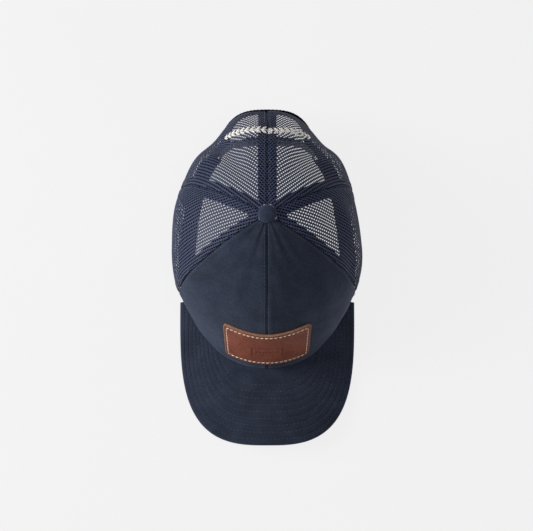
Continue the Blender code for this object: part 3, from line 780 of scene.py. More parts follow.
def topstitching():
    """Rows beside the seams of the crown, and one above the hem of the mesh."""
    rows = []
    for side, _ in SIDES:
        if side < 0:
            rows.append(stitches_beside(side, 0.0, 1, STITCH_FOOT, 160))
        for seam in (FRONT_SIDE_SEAM, REAR_SIDE_SEAM):
            rows += [stitches_beside(side, seam, way, STITCH_FOOT, 160) for way in (-1, 1)]
        rows.append(stitches_beside(side, REAR_SEAM, -1, ARCH_TOP + 0.05, 120))
        d = side * np.linspace(FRONT_SIDE_SEAM + 1.0, OPENING_EDGE - HEM_END, 150)
        rows.append(crown_row(d, HEM_STITCH_HEIGHT / REAR_HEIGHT_PER_S, STITCH_LIFT))
    piece = stitch_rows("crown_topstitching", rows, SEAM_THREAD_RADIUS, NAVY_THREAD)


# ---------------- the net


def cell_corners():
    """Twelve points round a hexagonal cell of the staggered lattice, and twelve round its hole."""
    third = NET_ROW / 3
    corners = [(0.5, 1), (0.0, 2), (-0.5, 1), (-0.5, -1), (0.0, -2), (0.5, -1)]
    outer = [np.array([x * NET_PITCH, k * third]) for x, k in corners]
    ring = []
    for a, b in zip(outer, outer[1:] + outer[:1]):
        ring += [a, (a + b) / 2]
    ring = np.array(ring)
    angle = np.arctan2(ring[:, 1] / NET_ROW, ring[:, 0] / NET_PITCH)
    hole = np.stack([NET_HOLE[0] * np.cos(angle), NET_HOLE[1] * np.sin(angle)], axis=-1)
    return ring, hole


def net_lattice(width, height, turn):
    """Centres of cells that cover a width and a height, and the turn that sets their rows aslant."""
    reach = math.hypot(width, height)
    across = int(reach / NET_PITCH) + 2
    up = int(reach / NET_ROW) + 2
    i, j = np.meshgrid(np.arange(-across, across + 1), np.arange(-up, up + 1))
    centres = np.stack([(i + 0.5 * (j % 2)) * NET_PITCH, j * NET_ROW], axis=-1).reshape(-1, 2)
    cos, sin = math.cos(turn), math.sin(turn)
    return centres, np.array([[cos, sin], [-sin, cos]])


class Gore:
    """Flat millimetres on a crown panel: p across it from its middle, q up its middle line."""

    def __init__(self, first, last):
        self.first, self.last = first, last
        self.levels = np.linspace(0.0, PANEL_TOP, 200)
        self.run = run_along(crown_face((first + last) / 2, self.levels))
        d = np.linspace(first, last, 60)
        lines = crown_face(d[None, :], self.levels[:, None])
        self.widths = np.linalg.norm(np.diff(lines, axis=1), axis=2).sum(axis=1)
        self.height, self.width = self.run[-1], self.widths.max()

    def width_at(self, q):
        return np.interp(q, self.run, self.widths)

    def place(self, p, q):
        """Distance along the ring and level of flat points, kept inside the panel."""
        s = np.interp(q, self.run, self.levels)
        share = np.clip(p / self.width_at(q), -0.5, 0.5)
        return (self.first + self.last) / 2 + share * (self.last - self.first), s


def net_cells(gore, turn, round_arch):
    """Centres of the cells that lie on a panel, and the map from the lattice to the panel."""
    centres, spin = net_lattice(gore.width, gore.height, turn)

    def laid(points):
        return points @ spin + np.array([0.0, gore.height / 2])

    p, q = laid(centres).T
    kept = (np.abs(p) < gore.width_at(q) / 2 + NET_MARGIN) & (q > -NET_MARGIN) & (q < gore.height)
    if round_arch:
        d, s = gore.place(p, q)
        kept &= s > arch_at(d) + 0.004
    return centres[kept], laid


def net_faces(border, hole, count):
    """Faces from the point numbers of each cell's border and hole.

    The net's points are its count border points, the same again for its back, and the holes' points.
    """
    back, waist = border + count, hole + 2 * count
    next_front, next_back, next_waist = (np.roll(x, -1, axis=1) for x in (border, back, waist))
    upper = np.stack([border, next_front, next_waist, waist], axis=-1).reshape(-1, 4)
    lower = np.stack([waist, next_waist, next_back, back], axis=-1).reshape(-1, 4)
    edges = np.sort(np.stack([border, next_front], axis=-1).reshape(-1, 2), axis=1)
    unique, uses = np.unique(edges, axis=0, return_counts=True)
    rim = unique[uses == 1]
    walls = np.stack([rim[:, 0], rim[:, 1], rim[:, 1] + count, rim[:, 0] + count], axis=-1)
    return np.concatenate([upper, lower, walls])


def net_piece(name, gore, turn, round_arch=False):
    """The net of one panel: ridges along the cell borders, falling to the edge of each oval hole.

    The uv's second value is the height of the ridge, from 0 at a hole to 1, for the painted shade of the
    yarn.
    """
    ring, hole = cell_corners()
    centres, laid = net_cells(gore, turn, round_arch)
    borders = (centres[:, None] + ring[None]).reshape(-1, 2)
    shared, which = np.unique(np.round(borders, 3), axis=0, return_inverse=True)
    holes = (centres[:, None] + hole[None]).reshape(-1, 2)
    cells = (len(centres), len(ring))
    faces = net_faces(which.reshape(cells), np.arange(len(holes)).reshape(cells), len(shared))
    flat = laid(np.concatenate([shared, shared, holes]))
    d, s = gore.place(flat[:, 0], flat[:, 1])
    row = shared[:, 1] / NET_ROW
    crest = np.where(np.abs(row - np.round(row)) < 0.1, SEPARATOR_CREST, 1.0)
    sunk = np.zeros(len(holes))
    half = NET_THICKNESS / 2
    level = np.concatenate([crest, -crest, sunk]) * half
    points = crown(d, s, half - level - net_lift(d, s))
    # The ridge height goes into the uv, from which the yarn's finish paints shade down towards the holes.
    uv = paired(flat[:, 0], np.concatenate([crest, crest, sunk]) / MM)
    return make_piece(name, points, faces, YARN, uv=uv)


NET_DIP = (0.5, 1.1)
OVER_TAPE = 0.35
NET_WAVES = (0.9, 42.0)


def net_lift(distance, s):
    """The net dips into its seams, rides on the tapes and bulges unevenly between them."""
    dip, dip_width = NET_DIP
    depth, size = NET_WAVES
    lift = 0.0
    for seam in SEAMS[1:]:
        x = from_seam(distance, s, seam)
        lift = lift - dip * bell(x, dip_width) + OVER_TAPE * smoothstep((TAPE_WIDTH / 2 + 1 - x) / 2)
    body = np.sin(math.pi * np.minimum(s / 0.9, 1.0))
    return lift + body * depth * ripple(distance, s * REAR_HEIGHT_PER_S, size, 5)


def mesh_panels():
    """The side nets, with their rows leant a little, and the rear nets, with rows along their slope."""
    for side, word in SIDES:
        gore = Gore(side * (FRONT_SIDE_SEAM + NET_INSET), side * (REAR_SIDE_SEAM - NET_INSET))
        net = net_piece(f"net_side_{word}", gore, math.radians(90 - SIDE_ROW_LEAN))
        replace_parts(net, f"side_mesh_{word}")
        gore = Gore(side * (REAR_SIDE_SEAM + NET_INSET), side * (REAR_SEAM - NET_INSET))
        lean = math.atan2(gore.width / 2, gore.height)
        net = net_piece(f"net_rear_{word}", gore, math.pi / 2 - lean, round_arch=True)
        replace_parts(net, f"rear_mesh_{word}")


# ---------------- tapes, hem and binding


HEM_TOP = PANEL_TOP / 12
TAPE_FOOT = 0.02
TAPE_ABOVE_HEM = 0.005
TAPE_ABOVE_ARCH = 0.06
HEM_ROLL = 0.12
HEM_ROLL_PITCH = 6.0
TAPE_RIB = (0.25, 0.25)
TAPE_CORDS = (0.12, 9.0)


def tape_sheet(name, seam, low, depth):
    """A tape of even width behind a seam, with a shallow rib along its middle."""
    s = np.linspace(low, PANEL_TOP - 0.02, 130)[:, None]
    half = TAPE_WIDTH / 2 / stretch(seam, s)
    f = np.linspace(-1.0, 1.0, 25)[None, :]
    d = seam + half * f
    s = np.broadcast_to(s, d.shape)
    outer = crown(d, s, depth)
    (rib, width), (cord, count) = TAPE_RIB, TAPE_CORDS
    ridge = rib * bell(f, width) + cord * np.cos(f * count)
    inner = crown(d, s, depth + TAPE + ridge)
    uv = paired(f * TAPE_WIDTH / 2, s * REAR_HEIGHT_PER_S)
    piece = sheet_piece(name, outer, inner, uv, DARK_TWILL)
    return piece


def seam_tapes():
    above_arch, above_hem = ARCH_TOP + TAPE_ABOVE_ARCH, HEM_TOP + TAPE_ABOVE_HEM
    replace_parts(tape_sheet("tape_front", 0.0, TAPE_FOOT, THIRD_LAYER), "seam_tape_front")
    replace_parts(tape_sheet("tape_rear", REAR_SEAM, above_arch, SECOND_LAYER), "seam_tape_rear")
    for side, word in SIDES:
        seam = side * FRONT_SIDE_SEAM
        front = tape_sheet(f"tape_front_side_{word}", seam, TAPE_FOOT, THIRD_LAYER)
        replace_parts(front, f"seam_tape_front_side_{word}")
        seam = side * REAR_SIDE_SEAM
        rear = tape_sheet(f"tape_rear_side_{word}", seam, above_hem, SECOND_LAYER)
        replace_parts(rear, f"seam_tape_rear_side_{word}")


def hem_tapes():
    """The tape along the lower edge of the mesh, rolled a little by its sewing."""
    end = OPENING_EDGE - HEM_END
    for side, word in SIDES:
        d = side * np.linspace(FRONT_SIDE_SEAM + 0.2, end, 150)[None, :]
        d, s = np.broadcast_arrays(d, np.linspace(0.0, HEM_TOP, 14)[:, None])
        roll = HEM_ROLL * np.sin(s * REAR_HEIGHT_PER_S * 2 * math.pi / HEM_ROLL_PITCH)
        piece = crown_sheet(f"hem_{word}", d, s, SECOND_LAYER, TAPE, roll, DARK_TWILL)
        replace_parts(piece, f"hem_tape_{word}")


BINDING_WIDTH = 6.0
BINDING_GAP = 1.1
BINDING_FOLD = 0.9
BINDING_PUCKER = 0.08
BINDING_PUCKERS = 60
BINDING_STITCH_FOOT = 0.06
BINDING_STITCH_PLACE = 4.8


def binding_section():
    """The folded tape in section, as (width beyond the arch, depth): out along one leg, round the
    fold and back along the other, then the same way back on the inside."""
    front, back = -BINDING_GAP, CLOTH + BINDING_GAP
    middle, half = (front + back) / 2, (back - front) / 2
    turn = np.linspace(-math.pi / 2, math.pi / 2, 9)
    legs = np.linspace(BINDING_WIDTH, 0.5, 6)

    def skin(extra):
        reach = BINDING_FOLD - TAPE + extra
        near = [(w, front - extra) for w in legs]
        fold = [(-reach * math.cos(a), middle + (half + extra) * math.sin(a)) for a in turn]
        far = [(w, back + extra) for w in legs[::-1]]
        return near + fold + far

    return skin(TAPE) + skin(0.0)[::-1]


def round_arch(angle, width):
    """Distance and level at an angle round the rear opening, a width beyond its edge."""
    d = REAR_SEAM - np.cos(angle) * (OPENING_HALF_WIDTH + width)
    return d, np.sin(angle) * (ARCH_TOP + width / REAR_HEIGHT_PER_S)


def opening_binding():
    section = np.array(binding_section())
    angle = np.linspace(0.0, math.pi, 90)[:, None]
    width, depth = section[:, 0][None, :], section[:, 1][None, :]
    d, s = round_arch(angle, width)
    pucker = BINDING_PUCKER * np.cos(angle * BINDING_PUCKERS)
    points = crown(d, np.maximum(s, 0.0), depth + np.sign(depth - CLOTH / 2) * pucker)
    stations, around = points.shape[:2]
    index = np.arange(stations * around).reshape(stations, around)
    faces = ring_faces(index)
    for end in (index[0], index[-1]):
        faces += [(end[i], end[i + 1], end[-i - 2], end[-i - 1]) for i in range(around // 2 - 1)]
    uv = paired(np.arange(around)[None, :] * 0.8, angle * 45.0).reshape(-1, 2)
    piece = make_piece("arch_binding", points.reshape(-1, 3), faces, DARK_TWILL, uv=uv)
    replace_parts(piece, "opening_binding")
    rows = []
    for depth, way in ((-BINDING_GAP - TAPE, 1.0), (CLOTH + BINDING_GAP + TAPE, -1.0)):
        angle = np.linspace(BINDING_STITCH_FOOT, math.pi - BINDING_STITCH_FOOT, 140)
        d, s = round_arch(angle, BINDING_STITCH_PLACE)
        rows.append((crown(d, s, depth), crown_normal(d, s) * way))
    piece = stitch_rows("binding_stitching", rows, SEAM_THREAD_RADIUS, NAVY_THREAD)


# ---------------- sweatband and label


SWEATBAND_GAP = 3.0
QUILT_DEPTH = 0.28
QUILT_PITCH = 8.0
QUILT_SINK = 0.2
SWEATBAND_WAVES = (0.25, 28.0)
FOOT_FOLD = 0.35
FOOT_FOLD_HEIGHT = 1.6
HEM_FOLD_HEIGHT = 4.0
HEM_BEGIN = 9.0
HEM_EASE = 6.0
SWEATBAND_STITCHES = (0.06, 0.94)


def sweatband_surface(distance, f, depth):
    """Points on the sweatband: f runs from its foot to its head, depth goes inwards."""
    foot = RING.inward(distance, SWEATBAND_DEPTH + depth)
    root = smoothstep((VISOR_CORNER - np.abs(distance)) / SWEATBAND_DIP)
    low = base_height(distance) - root * (2 * CLOTH + VISOR_BOARD)
    height = base_height(distance) + SWEATBAND_HEIGHT
    levels = np.array([s_at_height(one, tall) for one, tall in zip(distance, height)])
    face = crown_face(distance, levels)[..., :2]
    centre = np.array([0.0, BUTTON_Y])
    spoke = RING.at(distance) - centre
    reach = np.linalg.norm(spoke, axis=-1) - np.linalg.norm(face - centre, axis=-1)
    head = foot - unit(spoke) * (np.maximum(reach, 0.0) + SWEATBAND_LEAN)[:, None]
    f = np.asarray(f, float)[:, None, None]
    plan = foot + (head - foot) * f
    z = low + (height - low) * f[..., 0]
    return np.concatenate([plan, z[..., None]], axis=-1)


def sweatband():
    """A quilted band, folded at its foot; the fold reaches the hem tape where there is one."""
    end = OPENING_EDGE - STRAP_TAB - SWEATBAND_GAP
    d = np.linspace(-end, end, 420)
    f = np.linspace(0.0, 1.0, 34)
    outer = sweatband_surface(d, f, 0.0)
    inner = sweatband_surface(d, f, SWEATBAND_THICKNESS)
    across = unit(inner - outer)
    rows = f[:, None] * SWEATBAND_HEIGHT
    quilt = QUILT_DEPTH * np.abs(np.sin(rows * math.pi / QUILT_PITCH)) - QUILT_SINK
    depth, size = SWEATBAND_WAVES
    wander = depth * ripple(d[None, :], rows, size, 9) * (rows > 3)
    to_hem = smoothstep((np.abs(d[None, :]) - FRONT_SIDE_SEAM - HEM_BEGIN) / HEM_EASE)
    hem_fold = (FOOT_FOLD + (SWEATBAND_HEM_FOLD - FOOT_FOLD) * to_hem) * bell(rows, HEM_FOLD_HEIGHT)
    inner = inner + across * (quilt + wander + FOOT_FOLD * bell(rows, FOOT_FOLD_HEIGHT))[..., None]
    outer = outer + across * (wander - hem_fold)[..., None]
    piece = sheet_piece("sweatband_cloth", outer, inner, paired(d[None, :], rows), SWEAT_CLOTH)
    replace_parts(piece, "sweatband")
    stitches = []
    for level in SWEATBAND_STITCHES:
        face = sweatband_surface(d, [level], SWEATBAND_THICKNESS)[0]
        inward = unit(face - sweatband_surface(d, [level], 0.0)[0])
        stitches.append((face + inward * 0.05, inward))
    piece = stitch_rows("sweatband_stitching", stitches, BAND_THREAD_RADIUS, NAVY_THREAD)


LABEL_WIDTH = 26.0
LABEL_HEIGHT = 15.0
LABEL_PLACE = 175.0
LABEL_THICKNESS = 0.3
LABEL_LIFT = 0.4
LABEL_BOW = 0.21
BORDER_PLACE = 1.4
BORDER_WIDTH = 0.4
BORDER_HEIGHT = 0.12


def care_label():
    """A blank woven label with a raised border, sewn to the sweatband at its two ends."""
    d = np.linspace(LABEL_PLACE - LABEL_WIDTH / 2, LABEL_PLACE + LABEL_WIDTH / 2, 60)
    low = (1.0 - LABEL_HEIGHT / SWEATBAND_HEIGHT) / 2
    f = np.linspace(low, 1.0 - low, 36)
    bow = LABEL_BOW * np.sin(np.linspace(0.0, math.pi, 60)) ** 2
    base = sweatband_surface(d, f, SWEATBAND_THICKNESS + LABEL_LIFT)
    away = unit(sweatband_surface(d, f, SWEATBAND_THICKNESS + LABEL_LIFT + 1.0) - base)
    rows = f * SWEATBAND_HEIGHT
    from_end = np.minimum(d - d[0], d[-1] - d)[None, :]
    from_edge = np.minimum(from_end, np.minimum(rows - rows[0], rows[-1] - rows)[:, None])
    border = BORDER_HEIGHT * bell(from_edge - BORDER_PLACE, BORDER_WIDTH)
    outer = base + away * (bow[None, :] + LABEL_THICKNESS + border)[..., None]
    inner = base + away * bow[None, :, None]
    piece = sheet_piece("blank_label", outer, inner, paired(d[None, :], rows[:, None]), LABEL_WEAVE)
    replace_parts(piece, "care_label")


# ---------------- visor


VISOR_WAVES = (0.12, 46.0)
GROOVE_DEPTH = 0.5
GROOVE_WIDTH = 0.75
COVER_LIFT = 0.1
ROW_DEPTH = 0.38
ROW_MARGIN = 5.0


def visor_edge_points(samples=800):
    fraction = np.linspace(0.0, 1.0, samples + 1)
    angle = math.pi / 2 * fraction
    x = VISOR_HALF_WIDTH * signed_power(np.sin(angle), 2 / VISOR_SIDE_EXPONENT)
    y = CORNER[1] - VISOR_REACH * signed_power(np.maximum(np.cos(angle), 0), 2 / VISOR_FRONT_EXPONENT)
    y[-1] = CORNER[1]
    return np.stack([x, y], axis=-1)


VISOR_EDGE = Track(visor_edge_points())


def visor_lines(across):
    """Plan points of the visor's root and edge, and the way out of it, for shares of its width."""
    root = RING.inward(across * VISOR_CORNER, VISOR_ROOT_DEPTH)
    step = 0.5
    distance = across * VISOR_EDGE.length
    inner = np.clip(distance - step, -VISOR_EDGE.length, VISOR_EDGE.length)
    outer = np.clip(distance + step, -VISOR_EDGE.length, VISOR_EDGE.length)
    tangent = unit(VISOR_EDGE.at(outer) - VISOR_EDGE.at(inner))
    away = np.stack([tangent[:, 1], -tangent[:, 0]], axis=-1)
    return root, VISOR_EDGE.at(distance), away


def visor_groove(inset, length):
    """The stitched channels, from 0 to 1 deep, at a distance in from the edge."""
    total = 0.0
    for k in range(VISOR_ROWS):
        total = total + bell(inset - VISOR_FIRST_ROW - k * VISOR_ROW_STEP, GROOVE_WIDTH)
    return total * smoothstep((length - inset) / 4.0)


def visor_face(plan, drop, upward):
    """Points of the visor's upper or lower face, sunk into it by a drop."""
    middle = visor_height(plan[..., 0], plan[..., 1]) - VISOR_THICKNESS / 2
    z = middle + upward * (VISOR_THICKNESS / 2 - drop)
    return np.concatenate([plan, z[..., None]], axis=-1)


def visor_cover(name, node_name, upward):
    """One cover of the visor, from its root to a rolled edge that meets the other cover's."""
    across = np.linspace(-1.0, 1.0, 300)
    root, edge, away = visor_lines(across)
    inner_edge = edge - away * VISOR_ROLL
    flat = np.linspace(0.0, 1.0, 110)[:-1, None, None]
    plan = root[None] + (inner_edge - root)[None] * flat
    length = np.linalg.norm(inner_edge - root, axis=-1)[None, :]
    inset = (1.0 - flat[..., 0]) * length + VISOR_ROLL
    depth, size = VISOR_WAVES
    waves = depth * ripple(plan[..., 0], plan[..., 1], size, 3)
    drop = GROOVE_DEPTH * visor_groove(inset, length) - COVER_LIFT + waves
    turn = np.linspace(0.0, math.pi / 2, 9)[:, None]
    rolled = inner_edge[None] + away[None] * (VISOR_ROLL * np.sin(turn))[..., None]
    half = VISOR_THICKNESS / 2 - VISOR_SEAM_GAP
    fall = np.broadcast_to(half * (1.0 - np.cos(turn)) - COVER_LIFT, rolled.shape[:2])
    outer = visor_face(np.concatenate([plan, rolled]), np.concatenate([drop, fall]), upward)
    normals = grid_normals(outer)
    normals = normals * np.sign(normals[len(flat) // 2, len(across) // 2, 2]) * upward
    inner = outer - normals * (CLOTH - VISOR_SEAM_GAP)
    insets = np.concatenate([inset, np.broadcast_to(VISOR_ROLL * np.cos(turn), fall.shape)])
    uv = paired(across[None, :] * VISOR_EDGE.length, insets)
    piece = sheet_piece(name, outer, inner, uv, COTTON)
    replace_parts(piece, node_name)


def visor_stitching(name, upward):
    """Rows of stitches in the channels, each even with the visor's edge."""
    root, edge, _ = visor_lines(np.linspace(-1.0, 1.0, 500))
    reach = np.linalg.norm(edge - root, axis=-1)
    rows = []
    for k in range(VISOR_ROWS):
        back = VISOR_FIRST_ROW + k * VISOR_ROW_STEP
        kept = reach > back + ROW_MARGIN
        line = edge[kept] + (root - edge)[kept] * (back / reach[kept])[:, None]
        ups = np.zeros((len(line), 3)) + np.array([0.0, 0.0, float(upward)])
        rows.append((visor_face(line, ROW_DEPTH, upward), ups))
    piece = stitch_rows(name + "_stitching", rows, VISOR_THREAD_RADIUS, VISOR_THREAD, length=3.0, gap=0.5)


def visor():
    for name, node_name, upward in (
        ("visor_top", "visor_top_cover", 1),
        ("visor_underside", "visor_under_cover", -1),
    ):
        visor_cover(name, node_name, upward)
        visor_stitching(name, upward)


# ---------------- leather patch


def patch_levels():
    low = s_at_height(0.0, float(base_height(0.0)) + PATCH_RISE)
    levels = np.linspace(low, 0.9, 400)
    return levels, run_along(crown_face(0.0, levels))


PATCH_LEVELS, PATCH_RUN = patch_levels()


def patch_place(x, y):
    """Distance and level of a place on the patch, in millimetres from its lower middle."""
    s = np.interp(y, PATCH_RUN, PATCH_LEVELS)
    return x / stretch(0.0, s), s


def patch_half_width(y, inset):
    """Half of the patch's width at a height, drawn in from its outline, with rounded corners."""
    side = (PATCH_WIDTH_BOTTOM + (PATCH_WIDTH_TOP - PATCH_WIDTH_BOTTOM) * y / PATCH_HEIGHT) / 2 - inset
    corner = max(PATCH_CORNER - inset * 0.5, 0.4)
    from_edge = np.minimum(y - inset, PATCH_HEIGHT - inset - y)
    drop = np.maximum(corner - from_edge, 0.0)
    return side - (corner - np.sqrt(np.maximum(corner**2 - drop**2, 0.0)))


PATCH_LIFT = 0.3
PATCH_ROUNDING = 0.55
PATCH_WAVES = (0.06, 17.0)
CHANNEL_DEPTH = 0.45
CHANNEL_WIDTH = 0.7
CREASE_DEPTH = 0.18
CREASE_WIDTH = 0.35
CREASE_PLACE = 1.5
EDGE_WIDTH = 0.75
STAMP_DEPTH = 0.75
DEBOSS_WIDTH = 26.0
DEBOSS_HEIGHT = 11.0
DEBOSS_RISE = 20.0
DEBOSS_MARKS = 7
DEBOSS_MARGIN = 2.5
DEBOSS_LINE = 0.65
DEBOSS_EASE = 0.4
LOZENGE_REACH = 1.0


def deboss(x, y):
    """Depth, from 0 to 1, of a plain pressed frame with a row of small lozenges in it."""
    across = np.abs(x) - DEBOSS_WIDTH / 2
    up = np.abs(y - DEBOSS_RISE) - DEBOSS_HEIGHT / 2
    outline = np.abs(np.maximum(across, up))
    pitch = (DEBOSS_WIDTH - 2 * DEBOSS_MARGIN) / DEBOSS_MARKS
    local = x - pitch * np.round(x / pitch)
    lozenge = np.abs(local) + np.abs(y - DEBOSS_RISE) / 2.0
    inside = np.abs(x) < DEBOSS_WIDTH / 2 - DEBOSS_MARGIN
    line = smoothstep((DEBOSS_LINE - outline) / DEBOSS_EASE)
    return np.maximum(line, smoothstep((LOZENGE_REACH - lozenge) / DEBOSS_EASE) * inside)


def crowded(count):
    """Numbers from -1 to 1, closer together towards both ends."""
    even = np.linspace(-1.0, 1.0, count)
    return np.sign(even) * (1 - (1 - np.abs(even)) ** 1.25)


def patch_relief(x, y, from_edge):
    """Height of the patch's face: rounded at the rim, pressed by its stitches and its stamp."""
    rounding = PATCH_ROUNDING * np.maximum(1.0 - from_edge, 0.0) ** 2
    channel = CHANNEL_DEPTH * bell(from_edge - PATCH_STITCH_INSET, CHANNEL_WIDTH)
    crease = CREASE_DEPTH * bell(from_edge - CREASE_PLACE, CREASE_WIDTH)
    top = PATCH_LIFT + PATCH_THICKNESS
    depth, size = PATCH_WAVES
    waves = depth * ripple(x, y, size, 4)
    return top - rounding - channel - crease - STAMP_DEPTH * deboss(x, y) + waves


def leather_patch():
    """A slab of leather on the front panels; its rim is a burnished edge."""
    y = (crowded(110) + 1) / 2 * PATCH_HEIGHT
    half = np.array([patch_half_width(one, 0.0) for one in y])
    x = crowded(190)[None, :] * half[:, None]
    y = np.broadcast_to(y[:, None], x.shape)
    from_edge = np.minimum(half[:, None] - np.abs(x), np.minimum(y, PATCH_HEIGHT - y))
    d, s = patch_place(x, y)
    outer = crown(d, s, -patch_relief(x, y, from_edge))
    inner = crown(d, s, -PATCH_LIFT)
    piece = sheet_piece("patch_leather", outer, inner, paired(x, y), LEATHER)
    piece.data.materials.append(LEATHER_EDGE)
    edge_faces = from_edge[:-1, :-1] < EDGE_WIDTH
    flags = np.zeros(len(piece.data.polygons), dtype=int)
    flags[: edge_faces.size] = edge_faces.ravel()
    flags[2 * edge_faces.size:] = 1
    piece.data.polygons.foreach_set("material_index", flags)
    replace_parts(piece, "leather_patch")
    saddle_stitching()


def saddle_stitching():
    """Thick slanted stitches in a channel round the patch."""
    inset = PATCH_STITCH_INSET
    y = np.linspace(inset, PATCH_HEIGHT - inset, 240)
    half = np.array([patch_half_width(one, inset) for one in y])
    bottom = np.stack([np.linspace(-half[0], half[0], 120), np.full(120, y[0])], axis=-1)
    top = bottom[::-1] * [1, 0] + [0, y[-1]]
    right = np.stack([half, y], axis=-1)
    left = (right * [-1, 1])[::-1]
    loop = np.concatenate([bottom[:-1], right[:-1], top[:-1], left])
    d, s = patch_place(loop[:, 0], loop[:, 1])
    row = (crown(d, s, -PATCH_LIFT - PATCH_THICKNESS + 0.25), crown_normal(d, s))
    piece = stitch_rows("patch_stitching", [row], SADDLE_THREAD_RADIUS, CREAM_THREAD,
                        length=3.3, gap=0.7, slant=0.22)


# ---------------- embroidery


LEAF_PITCH = 5.0
LEAF_LENGTH = 5.4
LEAF_WIDTH = 2.3
LEAF_THREADS = 9
LEAF_LEAN = 38.0
STEM_THREADS = 63


def leaf_threads(root, lean):
    """The slanting threads of one satin-stitched leaf, as flat points."""
    along = np.array([math.cos(lean), math.sin(lean)])
    side = np.array([-along[1], along[0]])
    ends = np.linspace(-1.0, 1.0, STITCH_RINGS)[:, None]
    leaf = []
    for k in range(LEAF_THREADS):
        f = (k + 0.5) / LEAF_THREADS
        half = LEAF_WIDTH * math.sin(math.pi * f) ** 0.8 / 2 + 0.12
        leaf.append(root + along * LEAF_LENGTH * f + (side + along * 0.5) * half * ends)
    return leaf


def garland():
    """Flat points of all the threads: leaves in pairs that point to the middle, and a stem."""
    made = []
    count = int(EMBROIDERY_HALF_WIDTH / LEAF_PITCH)
    for i in range(-count, count + 1):
        lean = math.radians(LEAF_LEAN if i < 0 else 180.0 - LEAF_LEAN)
        root = np.array([i * LEAF_PITCH, EMBROIDERY_HEIGHT / 2])
        for way in (1, -1):
            made += leaf_threads(root, lean * way)
    stem = np.linspace(-EMBROIDERY_HALF_WIDTH, EMBROIDERY_HALF_WIDTH, STEM_THREADS + 1)
    for a, b in zip(stem, stem[1:]):
        x = np.linspace(a, b + 0.3, STITCH_RINGS)
        made.append(np.stack([x, np.full(STITCH_RINGS, EMBROIDERY_HEIGHT / 2)], axis=-1))
    return np.array(made)


def rear_embroidery():
    """The garland laid on the net in an arch over the rear opening."""
    flat = garland()
    low = EMBROIDERY_LOW - EMBROIDERY_DROP * (flat[..., 0] / EMBROIDERY_HALF_WIDTH) ** 2
    s = low + flat[..., 1] / REAR_HEIGHT_PER_S
    d = REAR_SEAM + flat[..., 0] / stretch(REAR_SEAM, s)
    net_rise = net_lift(np.where(d > REAR_SEAM, d - 2 * REAR_SEAM, d), s)
    piece = threads("garland_embroidery", crown(d, s, -net_rise - 0.3), crown_normal(d, s), 0.3,
                    EMBROIDERY_THREAD)
    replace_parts(piece, "rear_embroidery")


# ---------------- button and straps


BUTTON_TUCKS = 14
TUCK_DEPTH = 0.16
TUCK_PLACE = 0.12
TUCK_SPREAD = 0.14
BUTTON_RIM = 0.9
BUTTON_UNDERCUT = 0.45
BUTTON_FULLNESS = 0.85
BUTTON_LIFT = 0.5
RIM_SHARE = 0.25
STRAP_ROUNDING = 0.22


def crown_button():
    """A cloth-covered dome, gathered in small tucks under its rim."""
    sides, rings = 72, 26
    turn = np.linspace(0.0, 2 * math.pi, sides, endpoint=False)[None, :]
    f = np.linspace(0.0, 1.0, rings)[:, None]
    rise = np.clip((f - RIM_SHARE) / (1.0 - RIM_SHARE), 0.0, 1.0) * math.pi / 2
    under = 1.0 - BUTTON_UNDERCUT * np.clip((RIM_SHARE - f) / RIM_SHARE, 0.0, 1.0)
    tucks = TUCK_DEPTH * np.sin(turn * BUTTON_TUCKS) * bell(f - TUCK_PLACE, TUCK_SPREAD)
    radius = np.maximum((BUTTON_RADIUS - 0.2) * np.cos(rise) ** BUTTON_FULLNESS * under + tucks, 0.02)
    rim = BUTTON_RIM * np.clip(f / RIM_SHARE, 0, 1) - BUTTON_RIM
    z = CROWN_HEIGHT + BUTTON_LIFT + (BUTTON_HEIGHT - 0.3) * np.sin(rise) + rim
    x, y = np.cos(turn) * radius, np.sin(turn) * radius
    z = z + 0.05 * ripple(x * 3, y * 3, 12.0, 2)
    points = np.stack(np.broadcast_arrays(x, BUTTON_Y + y, z), axis=-1)
    index = np.arange(rings * sides).reshape(rings, sides)
    faces = ring_faces(index) + [index[0, ::-1].tolist(), index[-1].tolist()]
    uv = points[..., :2].reshape(-1, 2)
    piece = make_piece("covered_button", points.reshape(-1, 3), faces, PAINTED_LIGHT_BUTTON_COTTON, uv=uv)
    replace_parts(piece, "crown_button")


def give_finish(mesh, finish):
    mesh.materials.clear()
    mesh.materials.append(finish)


def join_flat_faces(working):
    angle = math.radians(1.0)
    bmesh.ops.dissolve_limit(working, angle_limit=angle, verts=working.verts, edges=working.edges)


def softened_copy(name, source, body):
    """A packed plastic piece with its moulded edges rounded."""
    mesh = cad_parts[source].data.copy()
    mesh.name = name
    weld(mesh, join_flat_faces)
    give_finish(mesh, SNAP_PLASTIC)
    piece = add_object(name, mesh)
    rounding = piece.modifiers.new("rounding", "BEVEL")
    rounding.width = STRAP_ROUNDING * MM
    rounding.segments = 2
    rounding.limit_method = "ANGLE"
    rounding.angle_limit = math.radians(38)
    smooth(mesh, 50)
    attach(piece, body)
    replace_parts(piece, source)


def snap_closure():
    softened_copy("snap_strap_pegs", "peg_strap", "peg_strap")
    softened_copy("snap_strap_holes", "hole_strap", "hole_strap")
    softened_copy("snap_tab_pegs", "peg_strap_tab", "cap")
    softened_copy("snap_tab_holes", "hole_strap_tab", "cap")


def carried_over():
    """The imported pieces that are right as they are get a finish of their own."""
    for name, finish in (("visor_board", BOARD_PLASTIC), ("button_washer", STEEL)):
        give_finish(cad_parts[name].data, finish)


# ---------------- stage


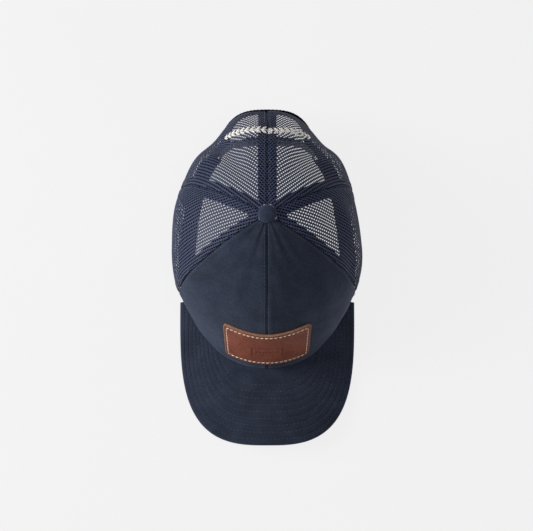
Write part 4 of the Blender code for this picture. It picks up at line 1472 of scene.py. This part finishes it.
SKY_LIGHT = 0.26
SKY_SEEN = 0.86
KEY_LIGHT = ((-1.5, 0.1, 0.85), 0.8, 34.0)
FILL_LIGHT = ((0.3, -0.3, 1.7), 1.2, 8.0)
LAMPS_FACE = Vector((0.0, 0.0, 0.05))
FLOOR_HALF = 3.0
FLOOR_DROP = 0.0003
CAMERA_TILT = math.radians(9.37)
CAMERA_DISTANCE = 1.436
CAMERA_TARGET = Vector((-0.0007, 0.0140, 0.0))
CAMERA_LENS = 105.2


def area_light(name, place, size, watts):
    """A round lamp that faces the cap."""
    lamp = bpy.data.lights.new(name, "AREA")
    lamp.shape = "DISK"
    lamp.size = size
    lamp.energy = watts
    made = add_object(name, lamp)
    made.location = place
    made.rotation_euler = (LAMPS_FACE - Vector(place)).to_track_quat("-Z", "Y").to_euler()


def studio_sky():
    """A white sky: the camera sees it brighter than it lights the cap."""
    world = bpy.data.worlds.new("studio")
    world.use_nodes = True
    sky = world.node_tree.nodes["Background"]
    sky.inputs["Color"].default_value = (1.0, 1.0, 1.0, 1.0)
    seen = node(world.node_tree, "LightPath").outputs["Is Camera Ray"]
    strength = node(world.node_tree, "MapRange", _0=seen, _3=SKY_LIGHT, _4=SKY_SEEN)
    world.node_tree.links.new(strength.outputs["Result"], sky.inputs["Strength"])
    bpy.context.scene.world = world


def stage():
    mesh = bpy.data.meshes.new("paper_floor")
    signs = ((-1, -1), (1, -1), (1, 1), (-1, 1))
    corners = [(x * FLOOR_HALF, y * FLOOR_HALF, -FLOOR_DROP) for x, y in signs]
    mesh.from_pydata(corners, [], [(0, 1, 2, 3)])
    mesh.materials.append(floor_finish("studio_paper"))
    add_object("paper_floor", mesh)
    studio_sky()
    area_light("key", *KEY_LIGHT)
    area_light("fill", *FILL_LIGHT)
    bpy.context.scene.view_settings.view_transform = "Standard"


def camera():
    """The photo's view: from above, tipped a little towards the visor."""
    lens = bpy.data.cameras.new("camera")
    lens.lens = CAMERA_LENS
    lens.sensor_width = 36.0
    lens.clip_end = 20.0
    made = add_object("camera", lens)
    back = Vector((0.0, -math.sin(CAMERA_TILT), math.cos(CAMERA_TILT)))
    made.location = CAMERA_TARGET + back * CAMERA_DISTANCE
    made.rotation_euler = (CAMERA_TILT, 0.0, 0.0)
    bpy.context.scene.camera = made


def main():
    front_panels()
    mesh_panels()
    seam_tapes()
    hem_tapes()
    opening_binding()
    sweatband()
    care_label()
    visor()
    leather_patch()
    rear_embroidery()
    topstitching()
    crown_button()
    snap_closure()
    carried_over()
    stage()
    camera()


main()
